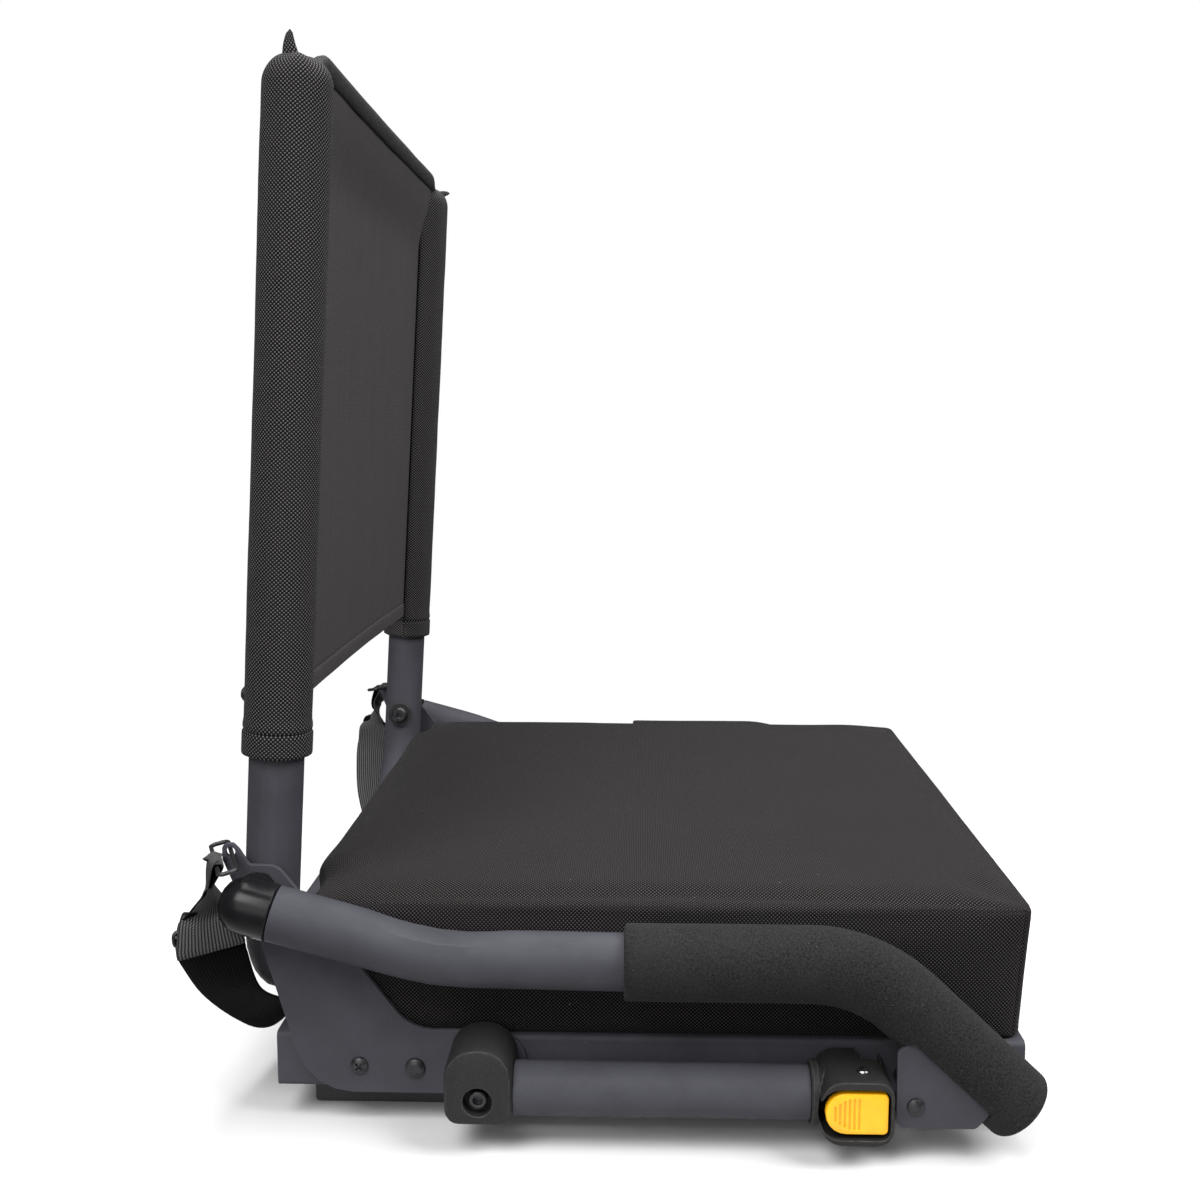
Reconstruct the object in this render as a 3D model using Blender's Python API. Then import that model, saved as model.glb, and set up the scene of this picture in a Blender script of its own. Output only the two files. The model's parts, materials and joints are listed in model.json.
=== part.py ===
"""Folding stadium chair with fixed arms, a folding back and two latched bench bars.

Metres, +Z up, front towards -Y, right hand of the sitter towards -X. Lengths along Y are first
taken from the middle of the side rails; the empty "chair" then shifts the whole to its own middle.
"""

from math import asin, atan2, ceil, cos, pi, radians, sin, sqrt, tan

import bmesh
import bpy
from mathutils import Matrix, Vector

# Clearances
FIT = 0.0003  # between two pieces that touch on the real chair
TURN = 0.0006  # round a pin or bolt that turns
SIDE_GAP = 0.0010  # each side of a piece that swings

# Seat frame
RAIL_LEN = 0.433
RAIL_H = 0.033
RAIL_FLANGE = 0.024
SHEET = 0.002
FOOT_H = 0.0215
FOOT_W = 0.028
BOARD_T = 0.006
CUSHION_H = 0.0800
CUSHION_FRONT_LIP = 0.0035
CUSHION_SWELL = 0.0022  # of the front face

# Tubes
POST_OD = 0.032
POST_SPAN = 0.446
TUBE_WALL = 0.0015
ARM_OD = 0.032
BAR_OD = 0.030

# Back
PIVOT_UP = 0.0930  # pivot above the rail's top
LEAN = radians(3.5)  # forward lean of the back as it stands
POST_UP = 0.4465  # pivot to the open end of the post
CROSS_DROP = 0.0745  # pivot down to the cross tube
POST_BEND_R = 0.055
COVER_T = 0.0020
SLEEVE_FROM = 0.0705
PANEL_FROM = 0.0905
PANEL_T = 0.0024
PANEL_BOW = 0.005

# Arms
ARM_UP = 0.0545  # level part of the arm above the rail's top
ARM_REAR_SLOPE = radians(15.2)
ARM_FRONT_SLOPE = radians(43.0)
ARM_FRONT_RUN = 0.1165  # along the sloped front part
ARM_BEND_R = 0.080
ARM_REAR_BEND_R = 0.130
ARM_SWAY_R = 0.300  # the slight sideways bend ahead of the rear knee
DENT_HALF = 0.050  # flattened stretch each way from the rear knee
DENT_DEEP = 0.0036
DENT_EDGE = 0.72  # share of the tube's radius above which the press takes hold
DENT_STEP = 0.014
FOAM_WALL = 0.0050
FOAM_FROM = 0.0135
CAP_STRAIGHT = 0.0155
CAP_DOME = 0.0155
CAP_SHOULDER_R = 0.0115  # of the shoulder between cap and side plate
PLATE_T = 0.003

# Bench bars
BAR_BOLT_D = 0.006
KNUCKLE_W = 0.038
KNUCKLE_H = 0.0446
HOUSING_W = 0.040
HOUSING_D = 0.043
HOUSING_H = 0.037
HOUSING_ROOF = 0.0040  # wall above the button's pocket
HOUSING_FLOOR = 0.0036
FLANGE_T = 0.004
BUTTON_T = 0.005
BUTTON_W = 0.0342
BUTTON_GAP = 0.00295  # above and below the button in its pocket
TONGUE_H = 0.0040
TONGUE_ROOM = 0.0015  # between the tongue and the pocket's roof
TONGUE_SEAT = 0.0005  # between the tongue and the stud
RIBS = 6

# Small hardware
RIVET_D = 0.005
PIVOT_D = 0.008
RING_WIRE = 0.0028
STRAP_W = 0.032
STRAP_T = 0.0018
SLIDE_WIRE = 0.0026

# Sizes that follow
REAR = RAIL_LEN / 2
FRONT = -RAIL_LEN / 2
RAIL_BOT = FOOT_H
RAIL_TOP = RAIL_BOT + RAIL_H
POST_R = POST_OD / 2
POST_X = POST_SPAN / 2
PLATE_IN = POST_X + POST_R + SIDE_GAP
PLATE_OUT = PLATE_IN + PLATE_T
RAIL_OUT = PLATE_IN - FIT
CUSHION_HALF = RAIL_OUT - 0.0014
CUSHION_BOT = RAIL_TOP + 0.0007
CUSHION_TOP = CUSHION_BOT + CUSHION_H
CUSHION_FRONT = FRONT - CUSHION_FRONT_LIP
CUSHION_REAR = REAR - 0.0185
STOP_Y = CUSHION_REAR + 0.0007
PIVOT_Y = REAR + 0.0035
PIVOT_Z = RAIL_TOP + PIVOT_UP
SLEEVE_IN = POST_R + FIT
SLEEVE_R = SLEEVE_IN + COVER_T
ARM_R = ARM_OD / 2
ARM_Z = RAIL_TOP + ARM_UP
ARM_REAR_X = PLATE_OUT + FIT + ARM_R
FOAM_R = ARM_R + FIT + FOAM_WALL
ARM_FRONT_X = max(ARM_REAR_X, RAIL_OUT + 0.0012 + FOAM_R)
ARM_KNEE_REAR = REAR - 0.097
ARM_KNEE_FRONT = FRONT + 0.0955
BAR_R = BAR_OD / 2
BAR_Y = REAR - 0.122
BAR_Z = RAIL_BOT + 0.0125
KNUCKLE_IN = PLATE_OUT + 0.0005
BAR_X = KNUCKLE_IN + BAR_R + 0.0035
KNUCKLE_OUT = BAR_X + BAR_R + 0.004
KNUCKLE_BOT = BAR_Z - 0.0144
HOUSING_FRONT = FRONT + 0.082
HOUSING_REAR = HOUSING_FRONT + HOUSING_W
HOUSING_OUT = KNUCKLE_IN + HOUSING_D
HOUSING_BOT = BAR_Z - 0.0195
HOUSING_TOP = HOUSING_BOT + HOUSING_H
BUTTON_H = HOUSING_H - HOUSING_ROOF - HOUSING_FLOOR - 2 * BUTTON_GAP
PLUG_R = BAR_R - TUBE_WALL - FIT
PIN_Y = HOUSING_FRONT + 0.0155
PIN_X = HOUSING_OUT - 0.0145
PIN_D = 0.004
STUD_Y = PIN_Y - 0.0025
STUD_D = 0.005
STUD_Z = HOUSING_TOP - HOUSING_ROOF - TONGUE_ROOM - TONGUE_H - TONGUE_SEAT - STUD_D / 2
GUSSET_EDGE = 0.0115  # its long edge below the arm's axis, seen from the side
GUSSET_IN = ARM_FRONT_X + sqrt(ARM_R ** 2 - GUSSET_EDGE ** 2) + 2 * FIT
GUSSET_OUT = GUSSET_IN + PLATE_T
GUSSET_REAR = HOUSING_FRONT - 0.0025
GUSSET_BOT = RAIL_BOT - 0.0005
GUSSET_RIVET = (GUSSET_REAR - 0.0105, RAIL_BOT + 0.0123)
PLATE_SCREW = (REAR - 0.0490, RAIL_BOT + 0.0150)
PLATE_RIVET = (REAR - 0.0815, RAIL_BOT + 0.0140)
EAR = (PIVOT_Y + 0.0190, PIVOT_Z + 0.0165)
RING_X = (PLATE_IN + PLATE_OUT) / 2
RING_LONG = STRAP_W + 0.0075 + RING_WIRE
EAR_HOLE = RING_WIRE / 2 + TURN + 0.0009  # wide enough for the slanting wire
RING_SHORT = 0.0100
RING_REACH = 0.0275  # from the ear to the ring's outer corner
ARM_END = (
    ARM_KNEE_FRONT - ARM_FRONT_RUN * cos(ARM_FRONT_SLOPE),
    ARM_Z - ARM_FRONT_RUN * sin(ARM_FRONT_SLOPE),
)
CHAIR_FRONT = min(ARM_END[0] - FOAM_R * sin(ARM_FRONT_SLOPE), CUSHION_FRONT - CUSHION_SWELL)

SIDES = ((-1, "right"), (1, "left"))
X_AXIS = Vector((1, 0, 0))
Y_AXIS = Vector((0, 1, 0))
Z_AXIS = Vector((0, 0, 1))

# slot: colour, roughness, metallic
LOOKS = {
    "frame_paint": ((0.070, 0.070, 0.084), 0.42, 0.35),
    "cushion_cloth": ((0.036, 0.033, 0.032), 0.92, 0.0),
    "cover_cloth": ((0.050, 0.048, 0.048), 0.92, 0.0),
    "grip_foam": ((0.030, 0.029, 0.029), 0.95, 0.0),
    "cap_plastic": ((0.012, 0.012, 0.013), 0.22, 0.0),
    "block_plastic": ((0.042, 0.041, 0.041), 0.62, 0.0),
    "button_plastic": ((0.90, 0.55, 0.02), 0.38, 0.0),
    "black_steel": ((0.030, 0.030, 0.032), 0.40, 0.6),
    "bright_steel": ((0.55, 0.55, 0.57), 0.28, 1.0),
    "webbing": ((0.040, 0.039, 0.039), 0.85, 0.0),
    "board_wood": ((0.42, 0.30, 0.17), 0.70, 0.0),
    "foot_rubber": ((0.020, 0.020, 0.021), 0.85, 0.0),
}


def clear_scene():
    for old in list(bpy.data.objects):
        bpy.data.objects.remove(old, do_unlink=True)


def look(slot):
    made = bpy.data.materials.get(slot)
    if made:
        return made
    colour, rough, metal = LOOKS[slot]
    made = bpy.data.materials.new(slot)
    made.use_nodes = True
    shader = made.node_tree.nodes["Principled BSDF"]
    shader.inputs["Base Color"].default_value = (*colour, 1)
    shader.inputs["Roughness"].default_value = rough
    shader.inputs["Metallic"].default_value = metal
    made.diffuse_color = (*colour, 1)
    return made


def empty(name, parent=None, at=(0, 0, 0), turn=(0, 0, 0)):
    made = bpy.data.objects.new(name, None)
    bpy.context.scene.collection.objects.link(made)
    made.parent = parent
    made.location = at
    made.rotation_euler = turn
    return made


def place(name, bm, slot, parent, at=(0, 0, 0)):
    """Makes the object; bm is in the parent's frame and at is the object's own origin there."""
    bmesh.ops.remove_doubles(bm, verts=bm.verts, dist=1e-6)
    bmesh.ops.recalc_face_normals(bm, faces=bm.faces)
    bmesh.ops.translate(bm, verts=bm.verts, vec=-Vector(at))
    mesh = bpy.data.meshes.new(name)
    bm.to_mesh(mesh)
    bm.free()
    for face in mesh.polygons:
        face.use_smooth = True
    mesh.set_sharp_from_angle(angle=radians(38))
    made = bpy.data.objects.new(name, mesh)
    bpy.context.scene.collection.objects.link(made)
    made.parent = parent
    made.location = at
    if slot:
        mesh.materials.append(look(slot))
    return made


def combine(target, bm, operation, tag):
    """Cuts bm out of target, or joins it on, with an exact Boolean modifier."""
    tool = place("tool_" + target.name + "_" + tag, bm, None, target.parent, target.location)
    tool.hide_render = True
    tool.display_type = "WIRE"
    step = target.modifiers.new(tag, "BOOLEAN")
    step.operation = operation
    step.solver = "EXACT"
    step.object = tool


# Shape helpers


def rounded(points, seg=4):
    """Corner list (a, b, radius) in a plane to a plain point list with rounded corners."""
    out = []
    count = len(points)
    for i in range(count):
        corner = Vector(points[i][:2])
        radius = points[i][2]
        before = Vector(points[i - 1][:2]) - corner
        after = Vector(points[(i + 1) % count][:2]) - corner
        if radius <= 0:
            out.append(tuple(corner))
            continue
        half = before.angle(after) / 2
        reach = min(radius / tan(half), before.length * 0.49, after.length * 0.49)
        radius = reach * tan(half)
        middle = corner + (before.normalized() + after.normalized()).normalized() * (radius / sin(half))
        start = corner + before.normalized() * reach - middle
        end = corner + after.normalized() * reach - middle
        sweep = atan2(start.x * end.y - start.y * end.x, start.dot(end))
        for k in range(seg + 1):
            a = sweep * k / seg
            turned = Vector((start.x * cos(a) - start.y * sin(a), start.x * sin(a) + start.y * cos(a)))
            out.append(tuple(middle + turned))
    return out


def circle(centre, radius, sides=12):
    return [(centre[0] + radius * cos(2 * pi * k / sides), centre[1] + radius * sin(2 * pi * k / sides))
            for k in range(sides)]


def prism_x(outline, x0, x1, holes=()):
    """Outline and holes are lists of (y, z); the body runs from x0 to x1."""
    bm = bmesh.new()
    edges = []
    for loop in (outline, *holes):
        verts = [bm.verts.new((x0, y, z)) for y, z in loop]
        edges += [bm.edges.new((verts[k - 1], verts[k])) for k in range(len(verts))]
    made = bmesh.ops.triangle_fill(bm, use_beauty=True, use_dissolve=not holes, edges=edges)
    faces = [f for f in made["geom"] if isinstance(f, bmesh.types.BMFace)]
    grown = bmesh.ops.extrude_face_region(bm, geom=faces, use_keep_orig=True)
    moved = [v for v in grown["geom"] if isinstance(v, bmesh.types.BMVert)]
    bmesh.ops.translate(bm, verts=moved, vec=(x1 - x0, 0, 0))
    return bm


def prism_y(outline, y0, y1):
    """Outline is a list of (x, z)."""
    bm = bmesh.new()
    near = [bm.verts.new((x, y0, z)) for x, z in outline]
    far = [bm.verts.new((x, y1, z)) for x, z in outline]
    count = len(outline)
    bm.faces.new(near)
    bm.faces.new(far[::-1])
    for k in range(count):
        bm.faces.new((near[k - 1], near[k], far[k], far[k - 1]))
    return bm


def block(x0, x1, y0, y1, z0, z1, edge=0.0):
    bm = bmesh.new()
    bmesh.ops.create_cube(bm, size=1)
    for v in bm.verts:
        v.co = Vector((
            x0 + (x1 - x0) * (v.co.x + 0.5),
            y0 + (y1 - y0) * (v.co.y + 0.5),
            z0 + (z1 - z0) * (v.co.z + 0.5),
        ))
    if edge:
        bmesh.ops.bevel(bm, geom=list(bm.edges), offset=edge, segments=2, affect="EDGES", profile=0.5)
    return bm


def merge(*parts):
    """Puts several closed shapes into one tool mesh."""
    out = bmesh.new()
    for part in parts:
        holder = bpy.data.meshes.new("holder")
        bmesh.ops.recalc_face_normals(part, faces=part.faces)
        part.to_mesh(holder)
        part.free()
        out.from_mesh(holder)
        bpy.data.meshes.remove(holder)
    return out


def ring_at(centre, along, ref, radius, sides):
    u = (ref - along * ref.dot(along)).normalized()
    v = along.cross(u)
    return [centre + (u * cos(2 * pi * k / sides) + v * sin(2 * pi * k / sides)) * radius
            for k in range(sides)]


def bent_path(points, radii, step=radians(13)):
    """Corner points and bend radii to a list of (point, direction)."""
    points = [Vector(p) for p in points]
    out = [(points[0], (points[1] - points[0]).normalized())]
    for i in range(1, len(points) - 1):
        before = (points[i] - points[i - 1]).normalized()
        after = (points[i + 1] - points[i]).normalized()
        turn = before.angle(after)
        reach = radii[i - 1] * tan(turn / 2)
        start = points[i] - before * reach
        axis = before.cross(after).normalized()
        middle = start + axis.cross(before).normalized() * radii[i - 1]
        count = max(1, ceil(turn / step - 0.01))
        for k in range(count + 1):
            spin = Matrix.Rotation(turn * k / count, 3, axis)
            out.append((middle + spin @ (start - middle), spin @ before))
    out.append((points[-1], (points[-1] - points[-2]).normalized()))
    return out


def skin(bm, rings, loop=False):
    made = [[bm.verts.new(p) for p in ring] for ring in rings]
    pairs = list(zip(made, made[1:]))
    if loop:
        pairs.append((made[-1], made[0]))
    for low, high in pairs:
        count = len(low)
        for k in range(count):
            bm.faces.new((low[k - 1], low[k], high[k], high[k - 1]))
    return made


def bridge(bm, one, other):
    count = len(one)
    for k in range(count):
        bm.faces.new((one[k - 1], one[k], other[k], other[k - 1]))


def tube(path, outer, inner, sides, ref):
    """Open tube along path; a solid rod where inner is 0."""
    bm = bmesh.new()
    out = skin(bm, [ring_at(p, t, ref, outer, sides) for p, t in path])
    if inner <= 0:
        bm.faces.new(out[0])
        bm.faces.new(out[-1][::-1])
        return bm
    bore = skin(bm, [ring_at(p, t, ref, inner, sides) for p, t in path])
    bridge(bm, out[0], bore[0])
    bridge(bm, out[-1], bore[-1])
    return bm


def lathe(profile, origin, axis, ref, sides=16, loop=False):
    """Turns (radius, height) points about axis; a closed profile with loop makes a ring."""
    bm = bmesh.new()
    origin, axis = Vector(origin), Vector(axis).normalized()
    rows = []
    for radius, height in profile:
        if radius < 1e-7:
            rows.append([bm.verts.new(origin + axis * height)])
        else:
            spots = ring_at(origin + axis * height, axis, ref, radius, sides)
            rows.append([bm.verts.new(p) for p in spots])
    pairs = list(zip(rows, rows[1:]))
    if loop:
        pairs.append((rows[-1], rows[0]))
    for low, high in pairs:
        for k in range(sides):
            if len(low) == 1:
                bm.faces.new((low[0], high[k], high[k - 1]))
            elif len(high) == 1:
                bm.faces.new((low[k - 1], low[k], high[0]))
            else:
                bm.faces.new((low[k - 1], low[k], high[k], high[k - 1]))
    return bm


def rod_x(x0, x1, y, z, radius, sides=14):
    return lathe([(0, 0), (radius, 0), (radius, abs(x1 - x0)), (0, abs(x1 - x0))],
                 (x0, y, z), (1 if x1 > x0 else -1, 0, 0), Z_AXIS, sides)


# Seat frame


def rail_holes():
    return (
        (*PLATE_SCREW, RIVET_D / 2 + FIT),
        (*PLATE_RIVET, RIVET_D / 2 + FIT),
        (*GUSSET_RIVET, RIVET_D / 2 + FIT),
        (STUD_Y, STUD_Z, STUD_D / 2 + FIT),
        (BAR_Y, BAR_Z, BAR_BOLT_D / 2 + FIT),
    )


def side_rail(parent, s, side):
    inner = RAIL_OUT - RAIL_FLANGE
    web = RAIL_OUT - SHEET
    corners = [
        (s * RAIL_OUT, RAIL_BOT, 0.003), (s * RAIL_OUT, RAIL_TOP, 0.003), (s * inner, RAIL_TOP, 0),
        (s * inner, RAIL_TOP - SHEET, 0), (s * web, RAIL_TOP - SHEET, 0.001),
        (s * web, RAIL_BOT + SHEET, 0.001), (s * inner, RAIL_BOT + SHEET, 0), (s * inner, RAIL_BOT, 0),
    ]
    rail = place(side + "_rail", prism_y(rounded(corners, 3), FRONT, REAR), "frame_paint", parent)
    drills = [rod_x(s * (web - 0.002), s * (RAIL_OUT + 0.002), y, z, r, 10) for y, z, r in rail_holes()]
    combine(rail, merge(*drills), "DIFFERENCE", "holes")


def cross_rails(parent):
    half = RAIL_OUT - RAIL_FLANGE - FIT
    back = FRONT + RAIL_FLANGE
    front = [
        (FRONT, RAIL_BOT, 0.003), (back, RAIL_BOT, 0), (back, RAIL_BOT + SHEET, 0),
        (FRONT + SHEET, RAIL_BOT + SHEET, 0.001), (FRONT + SHEET, RAIL_TOP - SHEET, 0.001),
        (back, RAIL_TOP - SHEET, 0), (back, RAIL_TOP, 0), (FRONT, RAIL_TOP, 0.003),
    ]
    place("front_rail", prism_x(rounded(front, 3), -half, half), "frame_paint", parent)
    stop_top = RAIL_TOP + 0.028
    rear = [
        (STOP_Y, RAIL_BOT, 0.003), (REAR, RAIL_BOT, 0), (REAR, RAIL_BOT + SHEET, 0),
        (STOP_Y + SHEET, RAIL_BOT + SHEET, 0.001), (STOP_Y + SHEET, stop_top, 0), (STOP_Y, stop_top, 0),
    ]
    place("rear_rail", prism_x(rounded(rear, 3), -half, half), "frame_paint", parent)


BOARD_HALF = CUSHION_HALF - 0.012
BOARD_FRONT = FRONT + 0.012
BOARD_REAR = CUSHION_REAR - 0.012
BOARD_BOT = RAIL_TOP + FIT
BOARD_TOP = BOARD_BOT + BOARD_T


def seat_board(parent):
    body = block(-BOARD_HALF, BOARD_HALF, BOARD_FRONT, BOARD_REAR, BOARD_BOT, BOARD_TOP)
    place("seat_board", body, "board_wood", parent)


def cushion_loop(inset, z, radius, bulge=0.0):
    """Rounded rectangle; its front side swells by up to bulge at the middle."""
    x = CUSHION_HALF - inset
    y0 = CUSHION_FRONT + inset
    y1 = CUSHION_REAR - inset
    out = []
    for cx, cy, start in ((x, y1, 0), (-x, y1, 90), (-x, y0, 180), (x, y0, 270)):
        mx = cx - radius * (1 if cx > 0 else -1)
        my = cy - radius * (1 if cy == y1 else -1)
        for k in range(4):
            a = radians(start + 30 * k)
            out.append((mx + radius * cos(a), my + radius * sin(a), z))
        tip = Vector(out[-1])
        end = {
            0: (-x + radius, y1, z), 90: (-x, y0 + radius, z),
            180: (x - radius, y0, z), 270: (x, y1 - radius, z),
        }[start]
        for k in range(1, 6):
            spot = tip.lerp(Vector(end), k / 6)
            if start == 180:
                spot.y -= bulge * sin(pi * k / 6)
            out.append(tuple(spot))
    return out


def seat_cushion(parent):
    """Boxed cushion: full sides between two seams, a crowned top and a pocket for the board."""
    bm = bmesh.new()
    pocket = CUSHION_HALF - BOARD_HALF - 0.001
    rise = CUSHION_H
    rows = (
        (pocket, BOARD_TOP + FIT - CUSHION_BOT, 0.003, 0),
        (pocket, 0.0, 0.003, 0),
        (0.0040, 0.0, 0.010, 0),
        (0.0014, 0.0030, 0.012, CUSHION_SWELL * 0.2),
        (0.0006, 0.0090, 0.012, CUSHION_SWELL * 0.55),
        (0.0000, rise * 0.55, 0.012, CUSHION_SWELL),
        (0.0006, rise - 0.0100, 0.012, CUSHION_SWELL * 0.55),
        (0.0014, rise - 0.0050, 0.012, CUSHION_SWELL * 0.2),
        (0.0050, rise - 0.0022, 0.012, 0),
        (0.0250, rise - 0.0004, 0.014, 0),
        (0.0700, rise + 0.0020, 0.020, 0),
        (0.1500, rise + 0.0034, 0.024, 0),
    )
    loops = [cushion_loop(inset, CUSHION_BOT + up, radius, bulge) for inset, up, radius, bulge in rows]
    made = skin(bm, loops)
    bm.faces.new(made[0])
    bm.faces.new(made[-1][::-1])
    place("seat_cushion", bm, "cushion_cloth", parent)


def foot_strip(parent, s, side):
    outer = s * (RAIL_OUT - 0.023)
    inner = outer - s * FOOT_W
    span = sorted((inner, outer))
    body = block(*span, FRONT + 0.012, REAR - 0.016, 0, RAIL_BOT - FIT, 0.002)
    place(side + "_foot_strip", body, "foot_rubber", parent)


# Side plates, arms and what holds them


def rear_plate(parent, s, side):
    ear_y, ear_z = EAR
    front = BAR_Y - 0.0245
    flat = RAIL_TOP + 0.0040
    lobe = PIVOT_Z + 0.0087
    tip = EAR_HOLE + 0.0018
    corners = [
        (front, RAIL_BOT - 0.0015, 0.012), (front, flat, 0.024), (BAR_Y + 0.0425, flat, 0.026),
        (PIVOT_Y - 0.0075, lobe, 0.011), (ear_y - 0.0105, lobe, 0.003),
        (ear_y - tip, ear_z + tip * 0.3, 0.0020), (ear_y - tip * 0.3, ear_z + tip, 0.0020),
        (ear_y + tip, ear_z + tip, tip * 0.9), (ear_y + tip, ear_z - tip, 0.003),
        (ear_y - 0.0010, PIVOT_Z - 0.002, 0.006), (PIVOT_Y + 0.0060, PIVOT_Z - 0.0275, 0.020),
        (REAR - 0.0195, RAIL_BOT - 0.0015, 0.034),
    ]
    holes = [
        circle((PIVOT_Y, PIVOT_Z), PIVOT_D / 2 + FIT), circle(EAR, EAR_HOLE, 10),
        circle((BAR_Y, BAR_Z), BAR_BOLT_D / 2 + FIT), circle(PLATE_SCREW, RIVET_D / 2 + FIT),
        circle(PLATE_RIVET, RIVET_D / 2 + FIT),
    ]
    body = prism_x(rounded(corners, 4), s * PLATE_IN, s * PLATE_OUT, holes)
    place(side + "_side_plate", body, "frame_paint", parent)


ARM_SIDES = 16  # tube and grip are cut alike, so that they stay apart in the bend
ARM_STEP = ARM_FRONT_SLOPE / 4


def arm_points(s):
    """Rear end, rear knee, start of the grip, front knee and front end of the arm's centre line."""
    back = PIVOT_Y - 0.0095
    up = ARM_Z + (back - ARM_KNEE_REAR) * tan(ARM_REAR_SLOPE)
    return (
        (s * ARM_REAR_X, back, up), (s * ARM_REAR_X, ARM_KNEE_REAR, ARM_Z),
        (s * ARM_FRONT_X, FOAM_FROM + 0.012, ARM_Z), (s * ARM_FRONT_X, ARM_KNEE_FRONT, ARM_Z),
        (s * ARM_FRONT_X, *ARM_END),
    )


def pressed_ring(spot, way, radius):
    """Ring of the arm tube; the bending tool has flattened its top round the rear knee."""
    ring = ring_at(spot, way, X_AXIS, radius, ARM_SIDES)
    share = 1 - ((spot.y - ARM_KNEE_REAR) / DENT_HALF) ** 2
    if share <= 0:
        return ring
    up = X_AXIS.cross(way)
    up = up if up.z > 0 else -up
    out = []
    for point in ring:
        high = (point - spot).dot(up) / radius
        press = max(0, (high - DENT_EDGE) / (1 - DENT_EDGE))
        out.append(point - up * (DENT_DEEP * share ** 2 * press))
    return out


def arm_tube(parent, s, side):
    path = bent_path(arm_points(s), (ARM_REAR_BEND_R, ARM_SWAY_R, ARM_BEND_R), ARM_STEP)
    fine = [path[0]]
    for (a, a_way), (b, b_way) in zip(path, path[1:]):
        near = min(abs(a.y - ARM_KNEE_REAR), abs(b.y - ARM_KNEE_REAR)) < DENT_HALF
        count = ceil((b - a).length / DENT_STEP) if near else 1
        for k in range(1, count + 1):
            fine.append((a.lerp(b, k / count), a_way.lerp(b_way, k / count).normalized()))
    bm = bmesh.new()
    skins = []
    for radius in (ARM_R, ARM_R - TUBE_WALL):
        skins.append(skin(bm, [pressed_ring(p, t, radius) for p, t in fine]))
    for end in (0, -1):
        bridge(bm, skins[0][end], skins[1][end])
    place(side + "_arm_tube", bm, "frame_paint", parent)


def arm_cap(parent, s, side):
    """Domed plug in the rear end of the arm."""
    points = [Vector(p) for p in arm_points(s)]
    axis = (points[0] - points[1]).normalized()
    spigot = ARM_R - TUBE_WALL - FIT
    rim = ARM_R + 0.0002
    turns = [radians(18 * k) for k in range(5)]
    dome = [(rim * cos(a) ** 0.72, CAP_STRAIGHT + CAP_DOME * sin(a)) for a in turns]
    profile = [
        (0, -0.014), (spigot, -0.014), (spigot, FIT), (rim - 0.0012, FIT), (rim, 0.0015), *dome,
        (0, CAP_STRAIGHT + CAP_DOME),
    ]
    body = place(side + "_arm_cap", lathe(profile, points[0], axis, X_AXIS, 16), "cap_plastic", parent)
    y, z = PIVOT_Y + 0.0038, PIVOT_Z - 0.0068
    fill = rod_x(s * (PLATE_OUT + FIT), s * ARM_REAR_X, y, z, CAP_SHOULDER_R, 20)
    combine(body, fill, "UNION", "shoulder")


def foam_grip(parent, s, side):
    """Foam sleeve over the front of the arm, closed past the tube's end and notched for the gusset."""
    points = arm_points(s)
    start = (points[2][0], FOAM_FROM, ARM_Z)
    path = bent_path((start, points[3], points[4]), (ARM_BEND_R,), ARM_STEP)
    end, along = path[-1]
    bm = bmesh.new()
    outer = [ring_at(p, t, X_AXIS, FOAM_R, ARM_SIDES) for p, t in path[1:]]
    first, way = path[0]
    outer.insert(0, ring_at(first + way * 0.0015, way, X_AXIS, FOAM_R, ARM_SIDES))
    outer.insert(0, ring_at(first, way, X_AXIS, FOAM_R - 0.0015, ARM_SIDES))
    for out, ahead in ((0.94, 0.0022), (0.80, 0.0044), (0.50, 0.0060)):
        outer.append(ring_at(end + along * ahead, along, X_AXIS, FOAM_R * out, ARM_SIDES))
    shell = skin(bm, outer)
    bore = [ring_at(p, t, X_AXIS, ARM_R + FIT, ARM_SIDES) for p, t in path]
    bore.append(ring_at(end + along * FIT, along, X_AXIS, ARM_R + FIT, ARM_SIDES))
    lining = skin(bm, bore)
    bridge(bm, shell[0], lining[0])
    bm.faces.new(shell[-1])
    bm.faces.new(lining[-1])
    grip = place(side + "_foam_grip", bm, "grip_foam", parent)
    notch = prism_x(gusset_outline(2 * FIT), s * (GUSSET_IN - FIT), s * (ARM_FRONT_X + FOAM_R + 0.004))
    combine(grip, notch, "DIFFERENCE", "notch")


def gusset_outline(grow=0.0):
    """Triangle on the outer flank of the arm's sloped front; its long edge runs along the tube."""
    normal = Vector((sin(ARM_FRONT_SLOPE), -cos(ARM_FRONT_SLOPE)))
    along = Vector((-cos(ARM_FRONT_SLOPE), -sin(ARM_FRONT_SLOPE)))
    base = Vector((ARM_KNEE_FRONT, ARM_Z)) + normal * (GUSSET_EDGE - grow)
    low = base + along * ((base.y - (GUSSET_BOT + 0.009 - grow)) / sin(ARM_FRONT_SLOPE))
    rear = GUSSET_REAR + grow
    high = base + along * ((base.x - (rear - 0.008)) / cos(ARM_FRONT_SLOPE))
    toe = low + normal * 0.012
    corners = [
        (rear, GUSSET_BOT - grow, 0.005), (rear, high.y - 0.006, 0.003), (high.x, high.y, 0.002),
        (low.x, low.y, 0.002), (toe.x, GUSSET_BOT - grow, 0.004),
    ]
    return rounded(corners, 3)


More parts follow.
